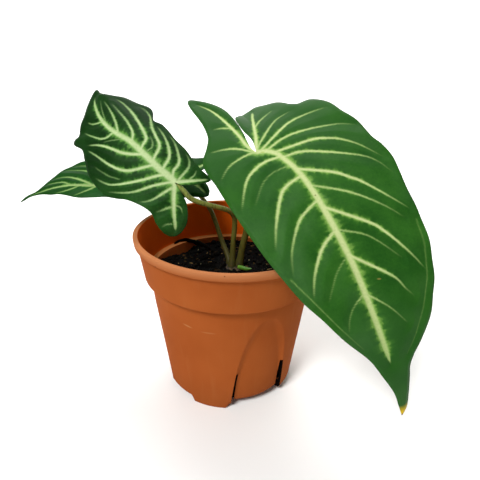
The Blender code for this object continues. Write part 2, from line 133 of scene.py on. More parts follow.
def ring_mesh(grid):
    """Points and triangles of a grid of places whose last column joins the first."""
    points = grid.reshape(-1, 3)
    kept, faces = welded(points, grid_squares(*grid.shape[:2], closed=True))
    return points[kept], faces


def outward(p, faces):
    """The triangles of a closed mesh, all turned over if its volume is negative, and its volume."""
    a, b, c = p[faces[:, 0]], p[faces[:, 1]], p[faces[:, 2]]
    volume = np.einsum("ij,ij->", a, np.cross(b, c)) / 6
    return (faces if volume > 0 else faces[:, ::-1]), abs(volume)


def add_piece(name, points, faces, finish, nodes=(), marks=None, sharp=None):
    """A closed mesh from points in millimetres, riding on the plant, with its finish and marks."""
    p = np.asarray(points, float)
    faces, volume = outward(p, faces)
    mesh = bpy.data.meshes.new(name)
    mesh.from_pydata(((p + AXIS) * MM).tolist(), [], faces.tolist())
    for key, values in (marks or {}).items():
        mesh.attributes.new(key, "FLOAT", "POINT").data.foreach_set("value", values.astype(np.float32))
    mesh.shade_smooth()
    if sharp is not None:
        mesh.set_sharp_from_angle(angle=math.radians(sharp))
    mesh.materials.append(finish)
    piece = bpy.data.objects.new(name, mesh)
    bpy.context.scene.collection.objects.link(piece)
    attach(piece, "root")
    if nodes:
        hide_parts(*nodes)
    print(f"{name}: {len(p)} points, {len(faces)} faces, {volume / 1000:.2f} cm3")
    return piece


# %% [markdown]
# ## Finishes
#
# A material is a small network of nodes. One function adds a node, sets it up and links it, and
# colours are written as the hex codes that a paint program shows, then turned to the linear
# values that a shader needs. A pattern's scale is worked out from the size of its marks on the
# real thing, in millimetres.

# %% Colours and nodes


def linear(code):
    """An sRGB hex colour as linear RGBA: c / 12.92 when dark, else ((c + 0.055) / 1.055) ^ 2.4."""
    srgb = np.array([int(code[i : i + 2], 16) for i in (1, 3, 5)]) / 255
    rgb = np.where(srgb <= 0.04045, srgb / 12.92, ((srgb + 0.055) / 1.055) ** 2.4)
    return (*rgb.tolist(), 1.0)


def plug(tree, node, links):
    """Gives each named input of a node its own number or colour, or a link from a socket."""
    for key, value in links.items():
        if isinstance(value, bpy.types.NodeSocket):
            tree.links.new(value, node.inputs[key])
        else:
            node.inputs[key].default_value = value


def add_node(tree, kind, links=None, stops=None, **settings):
    """Adds a node with its settings and links, and with a ramp's stops as places and hex colours."""
    node = tree.nodes.new("ShaderNode" + kind)
    for key, value in settings.items():
        setattr(node, key, value)
    plug(tree, node, links or {})
    for i, (place, code) in enumerate(stops or ()):
        stop = node.color_ramp.elements[i] if i < 2 else node.color_ramp.elements.new(place)
        stop.position = place
        stop.color = linear(code)
    return node


def cells(size):
    """The scale of a pattern with cells this many millimetres wide: how many go into a metre."""
    return 1 / (size * MM)


def new_finish(name):
    """An empty material: its node tree, its shader, and the Object coordinates in metres."""
    finish = bpy.data.materials.new(name)
    finish.use_nodes = True
    tree = finish.node_tree
    shader = tree.nodes["Principled BSDF"]
    place = add_node(tree, "TexCoord").outputs["Object"]
    return finish, tree, shader, place


print("leaf green in linear light:", [round(v, 4) for v in linear("#2F5A2C")])

# %% [markdown]
# ## The camera, the floor and the light
#
# The camera's place was worked out from the photograph: the rim, collar, ledge and feet of a
# round pot fix where the eye was, 24 cm in front of the pot's axis, 19 cm up and looking down 23
# degrees. The light is that of a white studio: a pale floor that sweeps up behind, one broad soft
# light from up on the left, which gives the collar its shadow and leaves the right side of the pot
# in a deeper tone, and a second lamp that only brightens the sweep.

# %% Camera
CAMERA_PLACE = np.array([0.0, -236.0, 189.5])
RIGHTWARDS = np.array([0.99963, -0.00932, 0.02548])
LOOKING = np.array([0.01861, 0.91893, -0.39399])
LENS = 33.73

backwards = -LOOKING / np.linalg.norm(LOOKING)
upwards = np.cross(backwards, RIGHTWARDS)
upwards /= np.linalg.norm(upwards)
turn = np.eye(4)
turn[:3, :3] = np.stack([np.cross(upwards, backwards), upwards, backwards], axis=1)
turn[:3, 3] = (CAMERA_PLACE + AXIS) * MM
eye = bpy.data.objects.new("camera", bpy.data.cameras.new("camera"))
bpy.context.scene.collection.objects.link(eye)
eye.matrix_world = Matrix(turn.tolist())
eye.data.sensor_width = 36.0
eye.data.lens = LENS
eye.data.clip_start = 0.01
eye.data.clip_end = 50.0
bpy.context.scene.camera = eye
print("camera looks down", round(math.degrees(math.asin(-LOOKING[2])), 1), "degrees")

# %% Floor
floor_finish, tree, shader, _ = new_finish("pale_matt_floor")
plug(tree, shader, {"Base Color": linear("#F8F8F6"), "Roughness": 0.9})
SWEEP_HALF_WIDTH = 3.0
SWEEP_FRONT, SWEEP_START, SWEEP_RADIUS, SWEEP_TOP = -3.0, 0.7, 0.8, 2.0
bend = np.linspace(0, math.pi / 2, 33)
sweep_line = np.vstack([
    [[SWEEP_FRONT, 0.0]],
    np.stack([SWEEP_START + SWEEP_RADIUS * np.sin(bend), SWEEP_RADIUS * (1 - np.cos(bend))], axis=1),
    [[SWEEP_START + SWEEP_RADIUS, SWEEP_TOP]],
])
sides = np.array([-SWEEP_HALF_WIDTH, SWEEP_HALF_WIDTH])
sweep_points = [(x, y, z) for y, z in sweep_line.tolist() for x in sides.tolist()]
floor_mesh = bpy.data.meshes.new("floor")
floor_mesh.from_pydata(sweep_points, [], grid_squares(len(sweep_line), 2).tolist())
floor_mesh.shade_smooth()
floor_mesh.materials.append(floor_finish)
floor = bpy.data.objects.new("floor", floor_mesh)
bpy.context.scene.collection.objects.link(floor)
print("sweep:", len(sweep_points), "points")

# %% Light
world = bpy.data.worlds.new("bright_room")
world.use_nodes = True
sky = world.node_tree.nodes["Background"]
plug(world.node_tree, sky, {"Color": linear("#FFFFFF"), "Strength": 0.2})
bpy.context.scene.world = world
bpy.context.scene.view_settings.view_transform = "Standard"


def add_lamp(name, kind, place, aim, size, power):
    """A lamp at a place in metres, turned to face the point it lights. Size is the edge of a square
    lamp, or the angle in degrees over which a distant one spreads."""
    lamp = bpy.data.lights.new(name, kind)
    lamp.energy = power
    if kind == "SUN":
        lamp.angle = math.radians(size)
    else:
        lamp.size = size
    away = np.array(place, float) - np.array(aim, float)
    away /= np.linalg.norm(away)
    side = np.cross([0.0, 1.0, 0.0], away)
    side /= np.linalg.norm(side)
    turned = np.eye(4)
    turned[:3, :3] = np.stack([side, np.cross(away, side), away], axis=1)
    turned[:3, 3] = place
    lamp_object = bpy.data.objects.new(name, lamp)
    lamp_object.matrix_world = Matrix(turned.tolist())
    bpy.context.scene.collection.objects.link(lamp_object)


add_lamp("broad_light", "SUN", (-0.36, -0.55, 0.75), (0.0, 0.0, 0.0), 18.0, 2.9)
add_lamp("sweep_light", "AREA", (0.0, 0.6, 1.3), (0.0, 1.4, 0.2), 0.9, 18.0)
print("lamps:", len(bpy.data.lights))

# %% [markdown]
# ## The pot
#
# The real pot is injection-moulded polypropylene. Its wall is a thin cone, with a thicker
# collar and lip for stiffness, a ledge inside, three arched recesses that let water drain, and
# three feet. A lathe profile gives all that is round. The recesses and feet aren't round, so
# the turned grid is then changed by functions of the angle and the height: that keeps one skin
# with soft moulded edges, where cutting them out would leave hard ones.

# %% Pot sizes, in millimetres
RIM_RADIUS = 55.0
POT_HEIGHT = 94.2
LIP_HEIGHT = 4.0
LIP_OVERHANG = 2.2
MOUTH_RADIUS = 52.15
COLLAR_FOOT = 70.0
COLLAR_FOOT_RADIUS = 49.5
WALL = 1.5
WALL_TOP_RADIUS = 46.4
BASE_LEVEL = 6.5
SKIRT_LEVEL = 3.2
BASE_RADIUS = 38.7
FLOOR = 2.0
FOOT_RADIUS = 38.0
FOOT_RING = 34.8
RECESS_CENTRES = (27.0, -85.0, 150.0)
RECESS_HALF_WIDTH = 24.4
RECESS_TOP = 61.7
RECESS_DEPTHS = (1.7, 1.0, 1.7)
RECESS_LEVEL = 4.4
SLOT_WIDTHS = (1.7, 1.3)
SLOT_TOP = 26.0
FOOT_ARCS = ((-140.7, -113.8), (-30.3, -2.9), (94.3, 121.2))
FOOT_SLANT = 4.5
SKIRT_INSET, SKIRT_ROUND = 0.8, 1.6
SLOT_CUT_IN, SLOT_CUT_OUT = 4.6, 3.0


def wrapped(degrees):
    """An angle brought to between -180 and 180 degrees."""
    return (degrees + 180) % 360 - 180


def at_angle(out, degrees, level):
    """Points at a distance from the pot's axis, an angle from its front and a height."""
    a = np.radians(degrees)
    return np.stack(np.broadcast_arrays(out * np.sin(a), -out * np.cos(a), level), axis=-1)


def wall_radius(height):
    """The wall's outer radius: a straight line from the base's radius to that at the collar."""
    share = (height - BASE_LEVEL) / (COLLAR_FOOT - BASE_LEVEL)
    return BASE_RADIUS + (WALL_TOP_RADIUS - BASE_RADIUS) * share


def recess_half_width(height):
    """Half the recess in degrees: it narrows evenly with height, then closes in a round arch, as
    (1 - 0.34t) * sqrt(1 - t^4), with t from 0 at the base to 1 at the top."""
    t = np.clip((height - BASE_LEVEL) / (RECESS_TOP - BASE_LEVEL), 0, 1)
    return RECESS_HALF_WIDTH * (1 - 0.34 * t) * np.sqrt(1 - t**4)


print("the wall leans out by", round(WALL_TOP_RADIUS - BASE_RADIUS, 1), "mm over its height")

# %% The pot's profile, with small rounds at its edges


def rounded(corners, steps=4):
    """A profile with its corners cut to arcs. Each corner is (radius, height, round): the arc is
    a quadratic curve from a point on one side, at the round's distance, to one on the other."""
    p = np.array([c[:2] for c in corners], float)
    made = [p[:1]]
    for before, here, after, size in zip(p[:-2], p[1:-1], p[2:], [c[2] for c in corners[1:-1]]):
        if size == 0:
            made.append(here[None])
            continue
        start = here + (before - here) / np.linalg.norm(before - here) * size
        end = here + (after - here) / np.linalg.norm(after - here) * size
        t = np.linspace(0, 1, steps)[:, None]
        made.append((1 - t) ** 2 * start + 2 * t * (1 - t) * here + t**2 * end)
    return np.vstack([*made, p[-1:]])


def with_rows(profile, longest):
    """The profile with points added so that no step is longer than what longest gives for the
    radius and the height of its middle."""
    made = [profile[:1]]
    for a, b in zip(profile[:-1], profile[1:]):
        count = max(1, math.ceil(np.linalg.norm(b - a) / longest(*((a + b) / 2))))
        made.append(a + (b - a) * (np.arange(1, count + 1) / count)[:, None])
    return np.vstack(made)


inner_base = wall_radius(BASE_LEVEL + FLOOR) - WALL
ledge = COLLAR_FOOT + WALL + 0.2
lip_foot = POT_HEIGHT - LIP_HEIGHT
pot_corners = [
    (0, BASE_LEVEL + FLOOR, 0), (inner_base, BASE_LEVEL + FLOOR, 1.5),
    (wall_radius(ledge) - WALL, ledge, 0.5), (COLLAR_FOOT_RADIUS - WALL + 0.1, ledge, 1.0),
    (MOUTH_RADIUS, POT_HEIGHT, 0.5), (RIM_RADIUS, POT_HEIGHT, 0.8),
    (RIM_RADIUS - 0.55, lip_foot, 0.5), (RIM_RADIUS - LIP_OVERHANG, lip_foot, 0.3),
    (COLLAR_FOOT_RADIUS, COLLAR_FOOT, 0.35), (WALL_TOP_RADIUS, COLLAR_FOOT, 0.4),
    (BASE_RADIUS, BASE_LEVEL, 0.2), (FOOT_RADIUS, 0, 0.4), (FOOT_RING, 0, 0.3),
    (FOOT_RING, BASE_LEVEL, 0.3), (0, BASE_LEVEL, 0),
]


def pot_step(radius, height):
    """The longest step: 1.35 mm on the skins that show, twice that below the soil and 3 mm on the
    floor, within 30 mm of the axis."""
    if radius < 30:
        return 3.0
    return 2.7 if height < ledge and radius < wall_radius(height) - 1 else 1.35


pot_profile = with_rows(rounded(pot_corners), pot_step)
print("pot profile:", len(pot_profile), "points")

# %% [markdown]
# The turned grid has a column for every 1.4 degrees, and closer ones at the recesses' sides and
# where a foot's side rises. At each point, a function says how far the wall is pressed in. It
# drops at the arch's crisp edge and eases into the panel, over half a millimetre at the foot of
# the pot and 7 mm near the arch's top. Both skins of the wall move in by that much, so the wall
# keeps its thickness.

# %% Turn the pot
COLUMN_STEP, FINE_STEP = 1.4, 0.45
FINE_FROM, FINE_TO = 15, 26
edges = np.array([side for arc in FOOT_ARCS for side in arc])
slopes = np.array([1, -1] * len(FOOT_ARCS))
extra = (edges[:, None] - slopes[:, None] * np.linspace(-0.3, FOOT_SLANT + 0.3, 7)[None]).ravel()
centres = np.array(RECESS_CENTRES)
coarse = np.arange(-180, 180, COLUMN_STEP)
from_centre = np.abs(wrapped(coarse[:, None] - centres)).min(axis=1)
fine_offs = np.arange(FINE_FROM, FINE_TO + FINE_STEP / 2, FINE_STEP)
fine = (centres[:, None, None] + np.array([[-1], [1]]) * fine_offs).ravel()
angles = np.concatenate([coarse[(from_centre < FINE_FROM) | (from_centre > FINE_TO)], fine, extra])
angles = np.unique(np.round(wrapped(angles), 3))
radius, height = (np.repeat(column[:, None], len(angles), axis=1) for column in pot_profile.T)
around = np.broadcast_to(angles, radius.shape)


def recess_depth(around, height):
    """How far the wall is pressed in, in millimetres. The distance inside the arch's edge, along
    the wall, is divided by the width of the slope there and held at 1. With that as s, the depth
    is (1.3 - 0.4 up) (1 - (1 - s)^2) of the recess's own, where up is 0 at the base, 1 at the top."""
    pressed = np.zeros_like(around)
    up = np.clip((height - BASE_LEVEL) / (RECESS_TOP - BASE_LEVEL), 0, 1)
    for centre, depth in zip(RECESS_CENTRES, RECESS_DEPTHS):
        off = np.abs(wrapped(around - centre))
        inside = np.radians(recess_half_width(height) - off) * wall_radius(height)
        inside = np.maximum(np.minimum(inside, (RECESS_TOP - height) * 0.7), 0)
        share = np.clip(inside / (0.5 + 6.5 * up), 0, 1)
        pressed = np.maximum(pressed, depth * (1 - (1 - share) ** 2))
    return pressed * (1.3 - 0.4 * up)


def foot_mask(around):
    """1 within a foot, 0 between the feet, and a slanted rise beside each foot."""
    into = [np.minimum(around - first, last - around) for first, last in FOOT_ARCS]
    return smooth_step(-FOOT_SLANT, 0, np.max(into, axis=0))


pressed = recess_depth(around, np.maximum(height, BASE_LEVEL))
turned = radius
radius = radius - np.where(height < COLLAR_FOOT - 1, pressed * smooth_step(28, 37.5, radius), 0)
from_centre = np.abs(wrapped(around[..., None] - centres)).min(axis=2)
in_recess = from_centre < recess_half_width(BASE_LEVEL) - 0.6
lift = np.where(in_recess, RECESS_LEVEL, SKIRT_LEVEL) * (1 - foot_mask(around))
outer_skin = (np.arange(len(pot_profile)) > np.argmax(pot_profile[:, 0]))[:, None]
height = np.where(outer_skin & (turned > FOOT_RING - 0.2), np.maximum(height, lift), height)
inset = SKIRT_INSET * np.clip(1 - (height - lift) / SKIRT_ROUND, 0, 1) * np.clip(lift / SKIRT_LEVEL, 0, 1)
radius = np.where(outer_skin & (turned > FOOT_RING + 1.5), radius - inset, radius)
pot_points, pot_faces = ring_mesh(at_angle(radius, around, height))
print("pot grid:", radius.shape, "rows and columns,", len(pot_faces), "triangles")

# %% [markdown]
# Polypropylene with a terracotta pigment is satin, a little uneven in colour from the flow in
# the mould, and scuffs to a paler tone. Fine noise at half a millimetre makes the skin of the
# mould, whose real grain is too fine to show. Wide noise makes the uneven colour, and stretched
# noise the upright flow lines and scuffs.

# %% Marks of use


def spot(tree, place, middle, size, turn=(0.0, 0.0, 0.0)):
    """A mask of one small mark: 1 inside an ellipsoid of the given half sizes in millimetres round
    a point, with a soft edge. The mapping takes the place back to a ball of radius 1."""
    ball_place = add_node(tree, "Mapping", {
        "Vector": place, "Location": tuple((np.asarray(middle) + AXIS) * MM),
        "Rotation": tuple(np.radians(turn)), "Scale": tuple(np.asarray(size) * MM),
    }, vector_type="TEXTURE")
    away = add_node(tree, "VectorMath", {0: ball_place.outputs[0]}, operation="LENGTH")
    edge = add_node(tree, "MapRange", {"Value": away.outputs["Value"], "From Min": 0.45, "From Max": 1.0,
                                       "To Min": 0.75, "To Max": 0.0})
    return edge.outputs[0]


# Two pale scuffs on the wall and two dark specks on the lip: radius, angle and height, half sizes,
# turn in degrees, and colour.
POT_MARKS = [
    ((wall_radius(55.9), -29.5, 55.9), (3.4, 2.0, 0.6), (0.0, 9.0, -29.5), "#B07848"),
    ((wall_radius(54.6), -14.3, 54.6), (4.8, 2.0, 0.6), (0.0, -2.0, -14.3), "#A8683C"),
    ((54.6, -42.4, 90.4), (0.8, 0.8, 0.5), (0.0, 0.0, 0.0), "#3A1A0C"),
    ((54.8, -3.0, 93.6), (0.5, 0.8, 0.4), (0.0, 0.0, 0.0), "#4A2412"),
]
print("marks on the pot:", len(POT_MARKS))

# %% Finish of the pot
pot_finish, tree, shader, place = new_finish("terracotta_polypropylene")
cloudy = add_node(tree, "TexNoise", {"Vector": place, "Scale": cells(35.7), "Detail": 3.0})
upright = (cells(4.55), cells(4.55), cells(62.5))
streak_place = add_node(tree, "Mapping", {"Vector": place, "Scale": upright})
streaks = add_node(tree, "TexNoise", {"Vector": streak_place.outputs[0], "Scale": 1.0, "Detail": 4.0})
grain = add_node(tree, "TexNoise", {"Vector": place, "Scale": cells(0.455), "Detail": 2.0})
base = add_node(tree, "ValToRGB", {"Fac": cloudy.outputs["Fac"]},
                stops=[(0.3, "#964B20"), (0.7, "#A25527")])
lines = add_node(tree, "MapRange", {"Value": streaks.outputs["Fac"], "From Min": 0.55, "From Max": 0.85,
                                    "To Min": 0.0, "To Max": 0.25})
raised = add_node(tree, "SeparateXYZ", {"Vector": place}).outputs["Z"]
# The colour darkens towards the bottom of the pot, over its lowest 22 mm.
darker_near_base = add_node(tree, "MapRange", {"Value": raised, "From Min": 0.0, "From Max": 22 * MM,
                                     "To Min": 0.22, "To Max": 0.0})
# Painted highlight: the lip's top band, from 89.5 to 93.5 mm up, is painted paler, as where the light
# catches it.
rim_highlight = add_node(tree, "MapRange", {"Value": raised, "From Min": 89.5 * MM, "From Max": 93.5 * MM,
                                     "To Min": 0.0, "To Max": 0.6})
coats = [(lines.outputs[0], "#AA6A3E"), (darker_near_base.outputs[0], "#6B3A20"), (rim_highlight.outputs[0], "#C08256")]
coats += [(spot(tree, place, at_angle(*at), size, turn), tone) for at, size, turn, tone in POT_MARKS]
# Face marks: the painted glow of light bounced about in the mouth, the ledge's painted highlight, and
# painted shade in the slots.
for key, tone in (("inside", "#D0580F"), ("ledge", "#D98A52"), ("painted_slot_shade", "#0A0503")):
    coats.append((add_node(tree, "Attribute", attribute_name=key).outputs["Fac"], tone))
colour = base.outputs["Color"]
for mask, tone in coats:
    coat = add_node(tree, "Mix", {"Factor": mask, "A": colour, "B": linear(tone)}, data_type="RGBA")
    colour = coat.outputs["Result"]
gloss = add_node(tree, "MapRange", {"Value": streaks.outputs["Fac"], "To Min": 0.6, "To Max": 0.75})
bump = add_node(tree, "Bump", {"Strength": 0.12, "Distance": 0.2 * MM, "Height": grain.outputs["Fac"]})
plug(tree, shader, {"Base Color": colour, "Roughness": gloss.outputs[0], "Normal": bump.outputs[0],
                    "Specular IOR Level": 0.015})
print("pot finish:", len(coats), "coats over the base,", len(tree.nodes), "nodes")

# %% [markdown]
# The drain slots go right through the wall where it steps in to a recess, from the base up to a
# quarter of the height, so they face sideways and one of a pair shows more than the other. A hole
# in a grid is awkward, and a Boolean is made for it, so six blocks are cut from the turned mesh.

# %% Cut the drain slots


def slot_sides(centre, side, height):
    """The two angles of a slot at a height. It lies against the recess's side, and it is wider at
    the base than at its top."""
    outer = centre + side * (recess_half_width(height) + 0.2)
    wide = np.interp(height, (BASE_LEVEL, SLOT_TOP), SLOT_WIDTHS)
    return np.sort([outer, outer - side * np.degrees(wide / wall_radius(height))], axis=0)


def slot_blocks():
    """Blocks through the wall, each with four corners at two radii on five heights, and with an end
    face on the first and the last four corners."""
    points, faces = [], []
    rows = np.linspace(SKIRT_LEVEL - 1.0, SLOT_TOP, 5)
    deep, out = wall_radius(rows) - SLOT_CUT_IN, wall_radius(rows) + SLOT_CUT_OUT
    quads = np.vstack([grid_squares(5, 4, closed=True), [[3, 2, 1, 0], [16, 17, 18, 19]]])
    for centre in RECESS_CENTRES:
        for side in (-1, 1):
            first, last = slot_sides(centre, side, rows)
            corners = [(deep, first), (deep, last), (out, last), (out, first)]
            block = np.stack([at_angle(radius, angle, rows) for radius, angle in corners], axis=1)
            squares = quads + 20 * len(faces)
            points.append(block.reshape(-1, 3))
            faces.append(np.concatenate([squares[:, [0, 1, 2]], squares[:, [0, 2, 3]]]))
    points, faces = np.vstack(points), np.vstack(faces)
    return points, outward(points, faces)[0]


cutter_points, cutter_faces = slot_blocks()
cutter_mesh = bpy.data.meshes.new("slot_cutter")
cutter_mesh.from_pydata(((cutter_points + AXIS) * MM).tolist(), [], cutter_faces.tolist())
cutter = bpy.data.objects.new("slot_cutter", cutter_mesh)
bpy.context.scene.collection.objects.link(cutter)
pot = add_piece("nursery_pot", pot_points, pot_faces, pot_finish, ["pot"])
cut = pot.modifiers.new("drain_slots", "BOOLEAN")
cut.operation = "DIFFERENCE"
cut.solver = "EXACT"
cut.object = cutter
bpy.context.view_layer.update()
slotted = bpy.data.meshes.new_from_object(pot.evaluated_get(bpy.context.evaluated_depsgraph_get()))
pot.modifiers.clear()
pot.data = slotted
slotted.set_sharp_from_angle(angle=math.radians(50))
bpy.data.objects.remove(cutter)
print("slotted pot:", len(slotted.polygons), "faces")

# %% [markdown]
# The faces inside a slot, and the wall's inner skin behind it, are painted nearly black: painted
# shade, for the dark gap of the slot. In the mouth, the light that comes through the thin wall and
# bounces about turns the plastic a deeper orange, and that glow is painted into the colour; the
# ledge there is painted paler, as a painted highlight. Each face's middle tells which of these it
# belongs to, and the face keeps that as a mark for the finish.

# %% Faces of painted shade, painted glow and painted highlight
middles = np.empty(3 * len(slotted.polygons))
slotted.polygons.foreach_get("center", middles)
middles = middles.reshape(-1, 3) / MM - AXIS
turned_to = np.degrees(np.arctan2(middles[:, 0], -middles[:, 1]))
from_axis, level = np.hypot(middles[:, 0], middles[:, 1]), middles[:, 2]
# Faces in and behind the slots, painted nearly black as painted shade.
in_slot = np.zeros(len(middles), bool)
for centre in RECESS_CENTRES:
    for side in (-1, 1):
        first, last = slot_sides(centre, side, level)
        here = wrapped(turned_to - first)
        in_slot |= (here > -0.05) & (here < last - first + 0.05)
in_slot &= (level < SLOT_TOP + 0.05) & (from_axis > BASE_RADIUS - 5)
in_slot |= (level > BASE_LEVEL + 0.5) & (from_axis < wall_radius(level) - 3.0)
inner_skin = np.interp(level, (ledge, POT_HEIGHT), (COLLAR_FOOT_RADIUS - WALL, MOUTH_RADIUS))
in_mouth = (level > ledge - 0.3) & (from_axis < inner_skin + 0.3)
# Faces on the ledge, painted paler as a painted highlight.
ledge_highlight = in_mouth & (level < ledge + 0.35)
for name, chosen in (("painted_slot_shade", in_slot & ~in_mouth), ("inside", in_mouth), ("ledge", ledge_highlight)):
    slotted.attributes.new(name, "FLOAT", "FACE").data.foreach_set("value", chosen.astype(float))
    print(name, "faces:", int(chosen.sum()))

# %% [markdown]
# ## The soil
#
# Peat mix is a dark, fibrous crumb with bits of bark and some pale grit. Its surface is a grid
# of rings whose height is a sum of many small round lumps. Loose bits are about 750 tiny stones
# with twenty faces each, in one mesh, with a shade of their own as an attribute. At the back left
# the peat has sunk into a hollow, and the wall shows below the ledge.

# %% Lumpy soil
SOIL_LEVEL = 68.4
CROWN_PLACE = np.array([1.6, 5.0])
HOLLOW_PLACE, HOLLOW_SIZE, HOLLOW_DEPTH = np.array([-33.0, 33.0]), 10.0, 4.5
LUMPS, HIGHEST_LUMP = 520, 1.6
MOUND_HEIGHT, MOUND_SIZE = 1.1, 8.5
CLEAR = 0.3
soil_edge = wall_radius(SOIL_LEVEL) - WALL - CLEAR
chance = np.random.default_rng(7)
lump_places = chance.uniform(-soil_edge, soil_edge, (LUMPS, 2))
lump_sizes = chance.uniform(1.2, 4.5, LUMPS)
lump_heights = chance.normal(0, 1, LUMPS) * lump_sizes * 0.16


def soil_height(x, y):
    """Level of the soil plus, for each lump, its height times e^(-(distance / size)^2), a low
    mound where the stalks come out and the hollow at the back left, of the same form."""
    total = np.zeros_like(x)
    for (cx, cy), size, high in zip(lump_places, lump_sizes, lump_heights):
        total += high * np.exp(-((x - cx) ** 2 + (y - cy) ** 2) / size**2)
    away = np.hypot(x - CROWN_PLACE[0], y - CROWN_PLACE[1]) / MOUND_SIZE
    sunk = np.hypot(x - HOLLOW_PLACE[0], y - HOLLOW_PLACE[1]) / HOLLOW_SIZE
    mound, hollow = MOUND_HEIGHT * np.exp(-(away**2)), HOLLOW_DEPTH * np.exp(-(sunk**2))
    return SOIL_LEVEL + np.clip(total, -HIGHEST_LUMP, HIGHEST_LUMP) + mound - hollow


SOIL_RINGS, SOIL_AROUND = 84, 260
FLANK_LEVEL = SOIL_LEVEL - 8
top_radii = soil_edge * np.sqrt(np.linspace(0, 1, SOIL_RINGS)) ** 1.1
turns = np.linspace(0, 2 * math.pi, SOIL_AROUND, endpoint=False)
r, a = np.meshgrid(top_radii, turns, indexing="ij")
x, y = r * np.cos(a), r * np.sin(a)
level = soil_height(x, y)
narrower = np.minimum(1, (wall_radius(level) - WALL - CLEAR) / soil_edge)
top = np.stack([x * narrower, y * narrower, level], axis=2)
low_radii = np.array([wall_radius(FLANK_LEVEL) - WALL - 2 * CLEAR, 36.0, 33.5, 0.0])
low_levels = np.array([FLANK_LEVEL, 11.0, 9.2, 9.2])
low_r, low_a = np.meshgrid(low_radii, turns, indexing="ij")
low = np.stack([low_r * np.cos(low_a), low_r * np.sin(low_a),
                np.broadcast_to(low_levels[:, None], low_r.shape)], axis=2)
soil_points, soil_faces = ring_mesh(np.concatenate([top, low]))
print("soil top:", top[..., 2].min().round(1), "to", top[..., 2].max().round(1), "mm")

# %% [markdown]
# Damp peat is matt and nearly black, and only its fibres catch some light. A picture of soil could
# be laid over it, but it would stretch down the lumps. Three patterns do it instead: fibres under
# a millimetre thick, crumbs of one millimetre, and patches of six that are damper and darker.

# %% Finish of the soil
soil_finish, tree, shader, place = new_finish("damp_peat")
crumbs = add_node(tree, "TexVoronoi", {"Vector": place, "Scale": cells(1.11)})
fibres = add_node(tree, "TexNoise", {"Vector": place, "Scale": cells(0.714), "Detail": 5.0,
                                     "Roughness": 0.7})
patches = add_node(tree, "TexNoise", {"Vector": place, "Scale": cells(5.88), "Detail": 3.0})
dark = add_node(tree, "ValToRGB", {"Fac": fibres.outputs["Fac"]},
                stops=[(0.4, "#020201"), (0.66, "#090705"), (0.85, "#2C2013")])
damp = add_node(tree, "ValToRGB", {"Fac": patches.outputs["Fac"]},
                stops=[(0.4, "#5C5048"), (0.7, "#FFFFFF")])
mottled = add_node(tree, "Mix", {"Factor": 1.0, "A": dark.outputs["Color"], "B": damp.outputs["Color"]},
                   data_type="RGBA", blend_type="MULTIPLY")
lumps = add_node(tree, "Bump", {"Strength": 0.9, "Distance": 0.8 * MM, "Height": crumbs.outputs["Distance"]})
rough = add_node(tree, "Bump", {"Strength": 0.7, "Distance": 0.5 * MM, "Height": fibres.outputs["Fac"],
                                "Normal": lumps.outputs[0]})
plug(tree, shader, {"Base Color": mottled.outputs["Result"], "Roughness": 0.9, "Normal": rough.outputs[0],
                    "Specular IOR Level": 0.08})
add_piece("peat_soil", soil_points, soil_faces, soil_finish, ["soil"])

# %% [markdown]
# The loose bits lie on the soil. Each is the same twenty-faced ball, an icosahedron, pushed out
# of round, stretched and turned by chance, so hundreds of them stay light.

# %% Bark, crumbs and grit
BALL_CORNERS = np.array([(0, 1, 1.618), (0, 1, -1.618), (0, -1, 1.618), (0, -1, -1.618)])
ball = np.vstack([np.roll(BALL_CORNERS, k, axis=1) for k in range(3)]) / 1.902
gaps = np.linalg.norm(ball[:, None] - ball[None], axis=2)
touching = (gaps > 0.1) & (gaps < 1.1)
i, j, k = np.nonzero(touching[:, :, None] & touching[:, None, :] & touching[None, :, :])
ball_faces = np.stack([i, j, k], axis=1)
ball_faces = ball_faces[(i < j) & (j < k)]
a, b, c = (ball[ball_faces[:, k]] for k in range(3))
facing_out = np.einsum("ij,ij->i", np.cross(a, b), c) > 0
ball_faces = np.where(facing_out[:, None], ball_faces, ball_faces[:, ::-1])


def rotated(first, second, angle):
    """Two coordinates after a turn about the third, with an angle in radians for each row."""
    c, s = np.cos(angle)[:, None], np.sin(angle)[:, None]
    return first * c - second * s, first * s + second * c


def scatter(count, sizes, flatness, length, reach):
    """Corners of bits that lie on the soil: chance gives each its place, its length, width and
    height, its turn and tilt, and how far each corner stands out."""
    spread = soil_edge * reach * np.sqrt(chance.uniform(0, 1, count))
    turn = chance.uniform(0, 2 * math.pi, count)
    centre = np.stack([spread * np.cos(turn), spread * np.sin(turn)], axis=1)
    size = chance.uniform(*sizes, count)[:, None] * np.stack(
        [chance.uniform(1.0, length, count), chance.uniform(0.7, 1.1, count),
         chance.uniform(flatness, flatness * 1.6, count)], axis=1)
    yaw, tilt = chance.uniform(0, 2 * math.pi, count), chance.normal(0, 0.35, count)
    shape = ball[None] * size[:, None] * chance.uniform(0.75, 1.2, (count, len(ball), 1))
    x, y, z = shape[..., 0], shape[..., 1], shape[..., 2]
    y, z = rotated(y, z, tilt)
    x, y = rotated(x, y, yaw)
    ground = soil_height(centre[:, 0], centre[:, 1]) + size[:, 2] * 0.35
    return np.stack([x + centre[:, :1], y + centre[:, 1:], z + ground[:, None]], axis=2)


